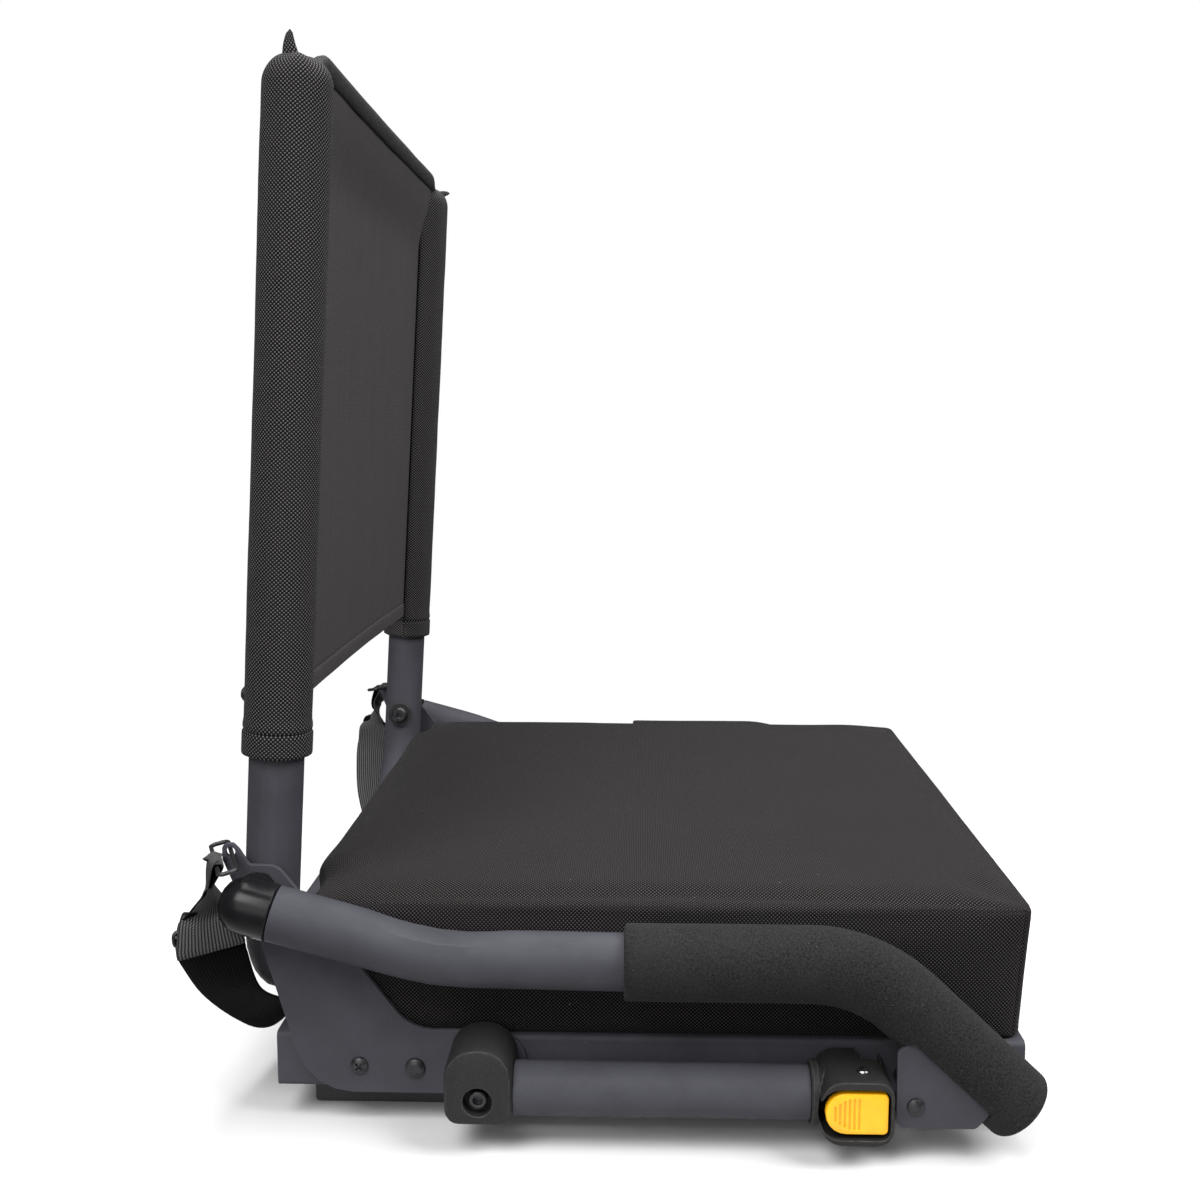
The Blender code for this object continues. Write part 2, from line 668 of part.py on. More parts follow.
def front_gusset(parent, s, side):
    hole = circle(GUSSET_RIVET, RIVET_D / 2 + FIT)
    body = prism_x(gusset_outline(), s * GUSSET_IN, s * GUSSET_OUT, [hole])
    place(side + "_gusset", body, "frame_paint", parent)
    y, z = GUSSET_RIVET
    length = GUSSET_IN - FIT - (RAIL_OUT + FIT)
    ring = [(RIVET_D / 2 + FIT, 0), (0.006, 0), (0.006, length), (RIVET_D / 2 + FIT, length)]
    body = lathe(ring, (s * (RAIL_OUT + FIT), y, z), (s, 0, 0), Z_AXIS, 14, True)
    place(side + "_gusset_spacer", body, "black_steel", parent)


def rivet_profile(grip, head_r, head_h, tail_r):
    """Dome head at height 0 and up, shank down through grip, flat tail under it."""
    r = RIVET_D / 2
    return [
        (0, -grip - 0.0018), (tail_r, -grip - 0.0018), (tail_r, -grip), (r, -grip), (r, 0), (head_r, 0),
        (head_r * 0.93, head_h * 0.45), (head_r * 0.62, head_h * 0.86), (0, head_h),
    ]


def fasteners(parent, s, side):
    web = RAIL_OUT - SHEET - FIT
    y, z = PLATE_RIVET
    top = PLATE_OUT + FIT
    body = lathe(rivet_profile(top - web, 0.0060, 0.0028, 0.0040), (s * top, y, z), (s, 0, 0), Z_AXIS, 14)
    place(side + "_plate_rivet", body, "black_steel", parent)
    y, z = GUSSET_RIVET
    top = GUSSET_OUT + FIT
    body = lathe(rivet_profile(top - web, 0.0050, 0.0024, 0.0040), (s * top, y, z), (s, 0, 0), Z_AXIS, 14)
    place(side + "_gusset_rivet", body, "black_steel", parent)
    y, z = PLATE_SCREW
    top = PLATE_OUT + FIT
    body = lathe(rivet_profile(top - web, 0.0052, 0.0026, 0.0042), (s * top, y, z), (s, 0, 0), Z_AXIS, 14)
    screw = place(side + "_plate_screw", body, "black_steel", parent)
    deep = (s * (top + 0.0009), s * (top + 0.0050))
    arm, half = 0.0028, 0.0006
    cross = [
        (-half, -arm), (half, -arm), (half, -half), (arm, -half), (arm, half), (half, half),
        (half, arm), (-half, arm), (-half, half), (-arm, half), (-arm, -half), (-half, -half),
    ]
    spun = [(y + (a - b) * 0.7071, z + (a + b) * 0.7071) for a, b in cross]
    combine(screw, prism_x(spun, *deep), "DIFFERENCE", "recess")
    body = lathe(stud_profile(), (s * (RAIL_OUT - SHEET - FIT), STUD_Y, STUD_Z), (s, 0, 0), Z_AXIS, 14)
    place(side + "_catch_stud", body, "bright_steel", parent)


def stud_profile():
    """Riveted stud: flat tail inside the rail, shank through it, rounded end that the latch rests on."""
    r = STUD_D / 2
    reach = KNUCKLE_IN - (RAIL_OUT - SHEET - FIT) + 0.0066
    tail = [(0, -0.0020), (0.0042, -0.0020), (0.0042, 0), (r, 0)]
    return tail + [(r, reach - 0.0008), (r - 0.0008, reach), (0, reach)]


# Back


def post_path():
    x = POST_X
    corners = ((-x, 0, POST_UP), (-x, 0, -CROSS_DROP), (x, 0, -CROSS_DROP), (x, 0, POST_UP))
    return bent_path(corners, (POST_BEND_R, POST_BEND_R), radians(15))


SLEEVE_SCREW_UP = SLEEVE_FROM + 0.033


def back_frame(back):
    body = tube(post_path(), POST_R, POST_R - TUBE_WALL, 16, Y_AXIS)
    frame = place("back_frame", body, "frame_paint", back)
    drills = []
    for s, _ in SIDES:
        near, far = POST_X - POST_R - 0.003, POST_X + POST_R + 0.003
        drills.append(rod_x(s * near, s * far, 0, 0, PIVOT_D / 2 + TURN, 10))
        drills.append(rod_back(s * POST_X, POST_R - 0.006, POST_R + 0.004, SLEEVE_SCREW_UP, 0.002 + FIT))
    combine(frame, merge(*drills), "DIFFERENCE", "holes")


def rod_back(x, y0, y1, z, radius):
    return lathe([(0, 0), (radius, 0), (radius, y1 - y0), (0, y1 - y0)], (x, y0, z), (0, 1, 0), Z_AXIS, 10)


COVER_SIDES = 18


def cover_ring(s, radius, z):
    """Ring of points about one post; the first two bound the strip where the panel joins on."""
    half = asin(PANEL_T / 2 / radius)
    toward = pi if s > 0 else 0
    angles = [toward - half * s, toward + half * s]
    span = 2 * pi - 2 * half
    angles += [toward + s * (half + span * k / (COVER_SIDES - 1)) for k in range(1, COVER_SIDES - 1)]
    return [Vector((s * POST_X + radius * cos(a), radius * sin(a), z)) for a in angles]


def back_cover(back):
    """Two closed sleeves over the posts and the panel between them, sewn as one piece."""
    bm = bmesh.new()
    top = POST_UP + 0.0045
    hem = SLEEVE_R + 0.0007
    levels = [
        (SLEEVE_FROM, hem), (SLEEVE_FROM + 0.016, hem), (PANEL_FROM, SLEEVE_R),
        (PANEL_FROM + 0.16, SLEEVE_R), (POST_UP - 0.004, SLEEVE_R), (top, SLEEVE_R - 0.0022),
        (top + 0.0030, SLEEVE_R * 0.66), (top + 0.0058, SLEEVE_R * 0.36), (top + 0.0150, SLEEVE_R * 0.08),
    ]
    joined = (2, 4)
    walls = {}
    for s, _ in SIDES:
        wall = [[bm.verts.new(p) for p in cover_ring(s, radius, z)] for z, radius in levels]
        for n in range(len(wall) - 1):
            for k in range(COVER_SIDES):
                if k == 1 and joined[0] <= n < joined[1]:
                    continue
                bm.faces.new((wall[n][k - 1], wall[n][k], wall[n + 1][k], wall[n + 1][k - 1]))
        bm.faces.new(wall[-1])
        heights = (SLEEVE_FROM, PANEL_FROM, PANEL_FROM + 0.16, POST_UP + 0.0026)
        bore = skin(bm, [cover_ring(s, SLEEVE_IN, z) for z in heights])
        bridge(bm, wall[0], bore[0])
        bm.faces.new(bore[-1])
        walls[s] = wall
    steps = 8
    grid = []
    for n in range(joined[0], joined[1] + 1):
        z = levels[n][0]
        rows = []
        for face in (0, 1):
            near = walls[-1][n][0 if face == 0 else 1]
            far = walls[1][n][0 if face == 0 else 1]
            row = [near]
            for k in range(1, steps):
                spot = near.co.lerp(far.co, k / steps)
                spot.y += PANEL_BOW * sin(pi * k / steps)
                spot.z = z
                row.append(bm.verts.new(spot))
            rows.append(row + [far])
        grid.append(rows)
    for n in range(len(grid) - 1):
        for face in (0, 1):
            low, high = grid[n][face], grid[n + 1][face]
            for k in range(steps):
                bm.faces.new((low[k], low[k + 1], high[k + 1], high[k]))
    for rows in (grid[0], grid[-1]):
        for k in range(steps):
            bm.faces.new((rows[0][k], rows[0][k + 1], rows[1][k + 1], rows[1][k]))
    cover = place("back_cover", bm, "cover_cloth", back)
    near, far = SLEEVE_IN - 0.003, SLEEVE_R + 0.004
    drills = [rod_back(s * POST_X, near, far, SLEEVE_SCREW_UP, 0.002 + FIT) for s, _ in SIDES]
    combine(cover, merge(*drills), "DIFFERENCE", "holes")


def back_fittings(back, s, side):
    bore = POST_R - TUBE_WALL - FIT
    profile = [
        (0, -0.016), (bore, -0.016), (bore, FIT), (POST_R - 0.0006, FIT), (POST_R - 0.0014, 0.0020),
        (0, 0.0020),
    ]
    body = lathe(profile, (s * POST_X, 0, POST_UP), Z_AXIS, X_AXIS, 16)
    place(side + "_post_plug", body, "block_plastic", back)
    seat = SLEEVE_R + FIT
    deep = POST_R - TUBE_WALL - 0.002
    head = [
        (0, deep - seat), (0.002, deep - seat), (0.002, 0), (0.0046, 0), (0.0042, 0.0016), (0.0026, 0.0028),
        (0, 0.0031),
    ]
    body = lathe(head, (s * POST_X, seat, SLEEVE_SCREW_UP), Y_AXIS, Z_AXIS, 14)
    place(side + "_sleeve_screw", body, "black_steel", back)


def pivot_bolt(parent, s, side):
    """Shoulder bolt from inside the post into the side plate, with a plain washer under its head."""
    inner = POST_X - POST_R - SIDE_GAP
    thick = 0.0020
    ring = [(PIVOT_D / 2 + FIT, 0), (0.0105, 0), (0.0105, thick), (PIVOT_D / 2 + FIT, thick)]
    body = lathe(ring, (s * inner, PIVOT_Y, PIVOT_Z), (-s, 0, 0), Z_AXIS, 16, True)
    place(side + "_pivot_washer", body, "block_plastic", parent)
    seat = inner - thick - FIT
    r, head, key = PIVOT_D / 2, 0.0068, 0.0026
    length = PLATE_OUT - 0.0002 - seat
    profile = [
        (0, -length), (r, -length), (r, 0), (head, 0), (head, 0.0022), (head - 0.0014, 0.0040),
        (key, 0.0040), (key, 0.0018), (0, 0.0018),
    ]
    body = lathe(profile, (s * seat, PIVOT_Y, PIVOT_Z), (-s, 0, 0), Z_AXIS, 14)
    place(side + "_pivot_bolt", body, "black_steel", parent)


# Bench bars


def knuckle_outline():
    rear = BAR_Y + KNUCKLE_W / 2
    front = BAR_Y - KNUCKLE_W / 2
    top = KNUCKLE_BOT + KNUCKLE_H
    low = KNUCKLE_BOT
    corners = [(rear, low, 0.008), (rear, top, 0.017), (front, top, 0.017), (front, low, 0.008)]
    return rounded(corners, 4)


def bevel_face(bm, x, amount):
    """Rounds the rim of the flat face at x."""
    rim = [e for e in bm.edges if e.is_boundary is False and all(abs(v.co.x - x) < 1e-7 for v in e.verts)
           and any(abs(f.normal.x) < 0.5 for f in e.link_faces)]
    bmesh.ops.bevel(bm, geom=rim, offset=amount, segments=2, affect="EDGES", profile=0.5)


def plug_y(s, y0, y1, radius):
    return lathe([(0, 0), (radius, 0), (radius, abs(y1 - y0)), (0, abs(y1 - y0))],
                 (s * BAR_X, y0, BAR_Z), (0, 1 if y1 > y0 else -1, 0), Z_AXIS, 16)


def knuckle(bar, s, side):
    axis = (s * BAR_X, BAR_Y, BAR_Z)
    bm = prism_x(knuckle_outline(), s * KNUCKLE_IN, s * KNUCKLE_OUT)
    bmesh.ops.recalc_face_normals(bm, faces=bm.faces)
    bevel_face(bm, s * KNUCKLE_OUT, 0.0040)
    body = place(side + "_knuckle", bm, "block_plastic", bar, axis)
    face = BAR_Y - KNUCKLE_W / 2
    combine(body, plug_y(s, face + 0.004, face - 0.024, PLUG_R), "UNION", "plug")
    seat = KNUCKLE_OUT - 0.0085
    drill = rod_x(s * (KNUCKLE_IN - 0.002), s * (seat + 0.001), BAR_Y, BAR_Z, BAR_BOLT_D / 2 + TURN, 16)
    combine(body, drill, "DIFFERENCE", "hole")
    sink = rod_x(s * seat, s * (KNUCKLE_OUT + 0.003), BAR_Y, BAR_Z, 0.0085, 16)
    combine(body, sink, "DIFFERENCE", "recess")


def knuckle_bolt(parent, s, side):
    """Socket-head bolt through knuckle, plate and rail, with its lock nut inside the rail."""
    seat = KNUCKLE_OUT - 0.0085 + FIT
    nut = RAIL_OUT - SHEET - FIT
    r, head, key = BAR_BOLT_D / 2, 0.0051, 0.0030
    grip = seat - nut
    profile = [
        (0, -grip - 0.0065), (r, -grip - 0.0065), (r, -grip - 0.0050), (0.0055, -grip - 0.0050),
        (0.0055, -grip), (r, -grip), (r, 0), (head, 0), (head, 0.0052), (head - 0.0006, 0.0058),
        (key, 0.0058), (key, 0.0026), (0, 0.0026),
    ]
    body = lathe(profile, (s * seat, BAR_Y, BAR_Z), (s, 0, 0), Z_AXIS, 14)
    place(side + "_knuckle_bolt", body, "bright_steel", parent)


BAR_FRONT = HOUSING_REAR + FLANGE_T
BAR_REAR = BAR_Y - KNUCKLE_W / 2


def bar_tube(bar, s, side):
    axis = (s * BAR_X, BAR_Y, BAR_Z)
    path = [(Vector((s * BAR_X, y, BAR_Z)), Y_AXIS) for y in (BAR_FRONT + FIT, BAR_REAR - FIT)]
    place(side + "_bar_tube", tube(path, BAR_R, BAR_R - TUBE_WALL, 16, Z_AXIS), "frame_paint", bar, axis)


CAVITY_DEEP = HOUSING_OUT - 0.031
CAVITY = (
    HOUSING_FRONT + 0.0019, HOUSING_REAR + 0.0008, HOUSING_BOT + HOUSING_FLOOR, HOUSING_TOP - HOUSING_ROOF,
)
SLOT = (HOUSING_FRONT + 0.0030, STUD_Y + 0.0032)


def latch_housing(bar, s, side):
    """Moulded block with a flange and plug for the tube, an open pocket for the button and a stud slot."""
    axis = (s * BAR_X, BAR_Y, BAR_Z)
    corners = [
        (HOUSING_FRONT, HOUSING_BOT, 0.009), (HOUSING_REAR, HOUSING_BOT, 0.012),
        (HOUSING_REAR, HOUSING_TOP, 0.012), (HOUSING_FRONT, HOUSING_TOP, 0.009),
    ]
    bm = prism_x(rounded(corners, 4), s * KNUCKLE_IN, s * HOUSING_OUT)
    bmesh.ops.recalc_face_normals(bm, faces=bm.faces)
    bevel_face(bm, s * HOUSING_OUT, 0.0012)
    body = place(side + "_latch_housing", bm, "block_plastic", bar, axis)
    deep = 0.024
    end = deep + FLANGE_T
    profile = [
        (0, 0), (PLUG_R, 0), (PLUG_R, deep), (BAR_R + 0.0020, deep), (BAR_R + 0.0030, deep + 0.0010),
        (BAR_R + 0.0030, end), (BAR_R - 0.002, end + 0.006), (0, end + 0.006),
    ]
    flange = lathe(profile, (s * BAR_X, BAR_FRONT + deep, BAR_Z), (0, -1, 0), Z_AXIS, 16)
    combine(body, flange, "UNION", "flange")
    y0, y1, z0, z1 = CAVITY
    pocket = prism_x(rounded([(y0, z0, 0.006), (y1, z0, 0.012), (y1, z1, 0.012), (y0, z1, 0.006)], 4),
                     s * CAVITY_DEEP, s * (HOUSING_OUT + 0.004))
    combine(body, pocket, "DIFFERENCE", "pocket")
    gate = block(min(s * (KNUCKLE_IN - 0.003), s * (CAVITY_DEEP + 0.002)),
                 max(s * (KNUCKLE_IN - 0.003), s * (CAVITY_DEEP + 0.002)),
                 SLOT[0], SLOT[1], STUD_Z - STUD_D / 2 - 0.0012, HOUSING_TOP + 0.004)
    combine(body, gate, "DIFFERENCE", "gate")
    bore, through = PIN_D / 2 + FIT, HOUSING_H + 0.006
    pin = lathe([(0, 0), (bore, 0), (bore, through), (0, through)],
                (s * PIN_X, PIN_Y, HOUSING_BOT - 0.003), Z_AXIS, X_AXIS, 10)
    combine(body, pin, "DIFFERENCE", "pin_hole")


BUTTON_OUT = HOUSING_OUT - 0.0012
BUTTON_IN = BUTTON_OUT - BUTTON_T
BUTTON_FRONT = CAVITY[0] + 0.0012
BUTTON_REAR = BUTTON_FRONT + BUTTON_W
TONGUE_TIP = KNUCKLE_IN + 0.0008
TONGUE_LOW = STUD_Z + STUD_D / 2 + TONGUE_SEAT


def latch_button(rocker, s, side):
    """Ribbed thumb rocker on the upright pin; its tongue lies over the catch stud."""
    axis = (s * PIN_X, PIN_Y, BAR_Z)
    mid = (CAVITY[2] + CAVITY[3]) / 2
    low, high = mid - BUTTON_H / 2, mid + BUTTON_H / 2
    corners = [
        (BUTTON_FRONT, low, 0.003), (BUTTON_REAR, low, BUTTON_H / 2 - 0.0006),
        (BUTTON_REAR, high, BUTTON_H / 2 - 0.0006), (BUTTON_FRONT, high, 0.003),
    ]
    bm = prism_x(rounded(corners, 5), s * BUTTON_IN, s * BUTTON_OUT)
    bmesh.ops.recalc_face_normals(bm, faces=bm.faces)
    bevel_face(bm, s * BUTTON_OUT, 0.0010)
    button = place(side + "_latch_button", bm, "button_plastic", rocker, axis)
    boss = lathe([(0, 0), (0.0045, 0), (0.0045, BUTTON_H - 0.001), (0, BUTTON_H - 0.001)],
                 (s * PIN_X, PIN_Y, low + 0.0005), Z_AXIS, X_AXIS, 14)
    combine(button, boss, "UNION", "boss")
    span = sorted((s * PIN_X, s * (BUTTON_IN + 0.0012)))
    web = block(*span, PIN_Y - 0.0038, PIN_Y + 0.0038, low + 0.003, high - 0.003)
    combine(button, web, "UNION", "web")
    span = sorted((s * TONGUE_TIP, s * (PIN_X - 0.0012)))
    tongue = block(*span, STUD_Y - 0.0062, STUD_Y - 0.0002, TONGUE_LOW, TONGUE_LOW + TONGUE_H)
    combine(button, tongue, "UNION", "tongue")
    hole = lathe([(0, 0), (PIN_D / 2 + TURN / 2, 0), (PIN_D / 2 + TURN / 2, 0.06), (0, 0.06)],
                 (s * PIN_X, PIN_Y, BAR_Z - 0.03), Z_AXIS, X_AXIS, 10)
    combine(button, hole, "DIFFERENCE", "hole")
    pitch = 0.0026
    grooves = []
    for k in range(RIBS):
        y = BUTTON_REAR - 0.0052 - k * pitch
        reach = sorted((s * (BUTTON_OUT - 0.0007), s * (BUTTON_OUT + 0.002)))
        room = BUTTON_H / 2 - 0.0030 - max(0, 0.0045 - 0.0016 * k)
        grooves.append(block(*reach, y - 0.00055, y + 0.00055, mid - room, mid + room))
    combine(button, merge(*grooves), "DIFFERENCE", "ribs")


def latch_pin(bar, s, side):
    head = [
        (0, 0.0016), (PIN_D / 2, 0.0016), (PIN_D / 2, HOUSING_H + FIT), (0.0037, HOUSING_H + FIT),
        (0.0032, HOUSING_H + 0.0012), (0, HOUSING_H + 0.0014),
    ]
    body = lathe(head, (s * PIN_X, PIN_Y, HOUSING_BOT), Z_AXIS, X_AXIS, 14)
    place(side + "_latch_pin", body, "bright_steel", bar, (s * BAR_X, BAR_Y, BAR_Z))


SPRING_TURNS = 4
SPRING_R = 0.0032
SPRING_WIRE = 0.0009


def latch_spring(bar, s, side):
    """Coil between the pocket's floor and the ribbed half of the button."""
    wire = SPRING_WIRE / 2
    start = CAVITY_DEEP + wire + FIT
    end = BUTTON_IN - wire - FIT
    mid = (CAVITY[2] + CAVITY[3]) / 2
    y = BUTTON_REAR - 0.0115
    count = SPRING_TURNS * 10
    path = []
    for k in range(count + 1):
        a = 2 * pi * SPRING_TURNS * k / count
        rise = (end - start) / count
        spot = Vector((s * (start + rise * k), y + SPRING_R * cos(a), mid + SPRING_R * sin(a)))
        way = Vector((s * rise * count / (2 * pi * SPRING_TURNS), -SPRING_R * sin(a), SPRING_R * cos(a)))
        path.append((spot, way.normalized()))
    least = min((path[i][0] - path[j][0]).length for i in range(count) for j in range(i + 6, count + 1))
    print(side, "latch spring: least gap between its turns", round((least - SPRING_WIRE) * 1000, 2), "mm")
    axis = (s * BAR_X, BAR_Y, BAR_Z)
    place(side + "_latch_spring", tube(path, wire, 0, 4, X_AXIS), "bright_steel", bar, axis)


# Ring and carry strap


def ring_frame(s):
    """Middle of the ring's strap bar, the bar's outward direction and the way back from the ear to it."""
    along = Vector((s * 0.915, -0.388, -0.110)).normalized()
    away = Vector((s * 0.366, 0.914, -0.183))
    away = (away - along * away.dot(along)).normalized()
    middle = Vector((s * RING_X, *EAR)) + along * (RING_REACH - RING_LONG / 2) + away * RING_SHORT
    return middle, along, away


def ring_points(s):
    middle, along, away = ring_frame(s)
    half, bend = RING_LONG / 2, 0.0025
    corners = ((-half, -RING_SHORT), (half, -RING_SHORT), (half, 0), (-half, 0))
    return [middle + along * a + away * b for a, b in rounded([(*c, bend) for c in corners], 4)]


def wire_loop(points, normal, wire):
    """Closed bent wire through points that lie in one plane."""
    rings = []
    for k, spot in enumerate(points):
        way = (points[(k + 1) % len(points)] - points[k - 1]).normalized()
        rings.append(ring_at(spot, way, normal, wire / 2, 6))
    bm = bmesh.new()
    skin(bm, rings, True)
    return bm


def strap_ring(parent, s, side):
    """Closed wire rectangle through the ear of the side plate."""
    _, along, away = ring_frame(s)
    body = wire_loop(ring_points(s), along.cross(away), RING_WIRE)
    place(side + "_strap_ring", body, "black_steel", parent)


LAYER = STRAP_T + 0.0005  # between the middles of two strap layers
SLIDE_LAYER = STRAP_T + SLIDE_WIRE + 0.0014  # the same where the slide lies between them
SLIDE_LOW = 5  # the point of the run under the slide


def strap_run():
    """Right half of the strap below its ring: (outward, rear, up) from the bar, and its width direction."""
    return (
        ((0.0006, 0.0044, -0.0117), (0.945, -0.325, -0.06)),
        ((0.0004, 0.0046, -0.0180), (1.00, 0.00, -0.04)),
        ((0.0002, 0.0050, -0.0240), (0.93, 0.37, -0.05)),
        ((-0.0004, 0.0054, -0.0300), (0.69, 0.72, -0.10)),
        ((-0.0010, 0.0054, -0.0360), (0.33, 0.92, -0.21)),
        ((-0.0018, 0.0050, -0.0485), (0.33, 0.92, -0.21)),
        ((-0.0050, 0.0040, -0.0600), (0.05, 0.97, -0.25)),
        ((-0.0225, 0.0000, -0.0870), (-0.18, 0.95, -0.25)),
        ((-0.0502, -0.0093, -0.1097), (-0.10, 0.88, -0.46)),
        ((-0.0852, -0.0143, -0.1247), (-0.04, 0.62, -0.78)),
        ((-0.1352, -0.0158, -0.1307), (0.0, 0.47, -0.88)),
        ((-0.1922, -0.0163, -0.1327), (0.0, 0.42, -0.91)),
    )


def strap_side(run, k):
    """The way along the run at its point k, and the side of the strap on which its tail lies."""
    way = (run[k + 1][0] - run[max(k - 1, 0)][0]).normalized()
    return way, run[k][1].cross(way).normalized()


def strap_tail(run):
    """The strap's end, from its tip round the slide up to the bar, outside the first points of the run."""
    way, side = strap_side(run, SLIDE_LOW)
    tail = [(run[SLIDE_LOW][0] + way * 0.0040 + side * (SLIDE_LAYER - 0.0014), run[SLIDE_LOW][1])]
    for k in range(SLIDE_LOW, -1, -1):
        _, side = strap_side(run, k)
        apart = SLIDE_LAYER if k > SLIDE_LOW - 2 else LAYER
        tail.append((run[k][0] + side * apart, run[k][1]))
    return tail


def strap_route():
    """Points and width directions from the right tail over both rings to the left tail."""
    bar, along, _ = ring_frame(-1)
    run = [(bar + Vector((-x, y, z)), Vector((-a, b, c))) for (x, y, z), (a, b, c) in strap_run()]
    up = (Z_AXIS - along * along.z).normalized()
    rear = along.cross(up)
    reach = RING_WIRE / 2 + 0.0005 + STRAP_T / 2
    over = [bar + (up * sin(radians(a)) + rear * cos(radians(a))) * reach for a in range(180, -1, -45)]
    half = strap_tail(run) + [(spot, along) for spot in over] + run
    end, wide = half[-1]
    mid = [(Vector((0, end.y - 0.0002, end.z - 0.0005)), wide)]
    flip = [(Vector((-p.x, p.y, p.z)), Vector((-w.x, w.y, w.z))) for p, w in reversed(half)]
    return half + mid + flip


STRAP_TURN = radians(6)  # largest twist of one facet


def strap_facets(bm, low, high, falls):
    """Closes one step of the strap; both faces and both layers are split along the same diagonal."""
    if falls:
        bends = ((low[0], low[1], high[1]), (low[0], high[1], high[0]),
                 (low[2], low[3], high[2]), (low[3], high[3], high[2]))
    else:
        bends = ((low[0], low[1], high[0]), (low[1], high[1], high[0]),
                 (low[2], low[3], high[3]), (low[2], high[3], high[2]))
    for corners in bends:
        bm.faces.new(corners)
    bm.faces.new((low[3], low[0], high[0], high[3]))
    bm.faces.new((low[1], low[2], high[2], high[1]))


def carry_strap(parent):
    coarse = strap_route()
    route = [coarse[0]]
    for (a, a_wide), (b, b_wide) in zip(coarse, coarse[1:]):
        count = ceil(a_wide.angle(b_wide) / STRAP_TURN + 0.01)
        for k in range(1, count + 1):
            route.append((a.lerp(b, k / count), a_wide.normalized().lerp(b_wide.normalized(), k / count)))
    points = [p for p, _ in route]
    bm = bmesh.new()
    rings = []
    for k, (spot, wide) in enumerate(route):
        way = (points[min(k + 1, len(points) - 1)] - points[max(k - 1, 0)]).normalized()
        across = (wide - way * wide.dot(way)).normalized() * (STRAP_W / 2)
        thick = way.cross(across).normalized() * (STRAP_T / 2)
        corners = (spot + thick + across, spot + thick - across, spot - thick - across, spot - thick + across)
        rings.append([bm.verts.new(c) for c in corners])
    for k in range(len(rings) - 1):
        strap_facets(bm, rings[k], rings[k + 1], points[k].z > points[k + 1].z)
    bm.faces.new(rings[0])
    bm.faces.new(rings[-1][::-1])
    place("carry_strap", bm, "webbing", parent)
    length = sum((b - a).length for a, b in zip(points, points[1:]))
    print("carry strap length", round(length, 3), "m")


def strap_slide(parent):
    """Wire slide between the strap's right tail and its run; it follows their twist."""
    bar, _, _ = ring_frame(-1)
    run = [(bar + Vector((-x, y, z)), Vector((-a, b, c))) for (x, y, z), (a, b, c) in strap_run()]
    (low, wide), (high, _) = run[SLIDE_LOW], run[SLIDE_LOW - 1]
    length = (high - low).length
    half, rise, bend = STRAP_W / 2 + 0.0035, 0.0045, 0.003
    flat = rounded([(-half, -rise, bend), (half, -rise, bend), (half, rise, bend), (-half, rise, bend)], 3)
    points = []
    for a, b in flat:
        way = (low - high).normalized()
        side = wide.cross(way).normalized()
        across = (wide - way * wide.dot(way)).normalized()
        points.append(low.lerp(high, 0.42 + b / length) + across * a + side * (SLIDE_LAYER / 2))
    place("strap_slide", wire_loop(points, side, SLIDE_WIRE), "bright_steel", parent)


def build():
    clear_scene()
    rear = max(p.y for p in ring_points(1)) + RING_WIRE / 2
    middle = (CHAIR_FRONT + rear) / 2
    print("shifted forward by", round(middle, 7))
    chair = empty("chair", None, (0, -middle, 0))
    back = empty("back_pivot", chair, (0, PIVOT_Y, PIVOT_Z), (LEAN, 0, 0))
    cross_rails(chair)
    seat_board(chair)
    seat_cushion(chair)
    back_frame(back)
    back_cover(back)
    for s, side in SIDES:
        side_rail(chair, s, side)
        foot_strip(chair, s, side)
        rear_plate(chair, s, side)
        arm_tube(chair, s, side)
        arm_cap(chair, s, side)
        foam_grip(chair, s, side)
        front_gusset(chair, s, side)
        fasteners(chair, s, side)
        pivot_bolt(chair, s, side)
        back_fittings(back, s, side)
        knuckle(chair, s, side)
        knuckle_bolt(chair, s, side)
        bar_tube(chair, s, side)
        latch_housing(chair, s, side)
        latch_button(chair, s, side)
        latch_pin(chair, s, side)
        latch_spring(chair, s, side)
        strap_ring(chair, s, side)
    carry_strap(chair)
    strap_slide(chair)


build()
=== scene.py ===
"""Looks of the folding stadium chair: cloth, foam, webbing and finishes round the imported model.

Metres, +Z up, front towards -Y, the sitter's right towards -X.
"""

import json
from math import cos, exp, hypot, pi, radians, sin, sqrt, tan

import bmesh
import bpy
import numpy as np
from mathutils import Matrix, Vector, noise


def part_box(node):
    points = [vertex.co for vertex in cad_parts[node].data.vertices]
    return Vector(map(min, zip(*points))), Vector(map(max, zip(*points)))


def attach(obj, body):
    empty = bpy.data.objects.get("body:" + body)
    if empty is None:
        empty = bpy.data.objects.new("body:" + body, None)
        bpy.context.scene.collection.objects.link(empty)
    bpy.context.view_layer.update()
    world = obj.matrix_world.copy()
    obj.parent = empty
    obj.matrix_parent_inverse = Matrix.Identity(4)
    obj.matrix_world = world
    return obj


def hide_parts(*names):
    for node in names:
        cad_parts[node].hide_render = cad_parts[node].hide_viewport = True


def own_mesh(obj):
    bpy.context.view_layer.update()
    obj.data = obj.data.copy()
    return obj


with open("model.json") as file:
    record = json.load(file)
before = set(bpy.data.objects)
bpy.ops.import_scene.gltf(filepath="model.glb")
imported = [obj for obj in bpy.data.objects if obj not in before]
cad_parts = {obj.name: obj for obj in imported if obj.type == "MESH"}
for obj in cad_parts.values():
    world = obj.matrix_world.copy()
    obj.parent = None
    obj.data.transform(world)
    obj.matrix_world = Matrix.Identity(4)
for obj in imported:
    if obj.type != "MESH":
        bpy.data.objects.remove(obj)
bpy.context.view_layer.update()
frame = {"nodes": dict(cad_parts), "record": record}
NODES = frame["nodes"]

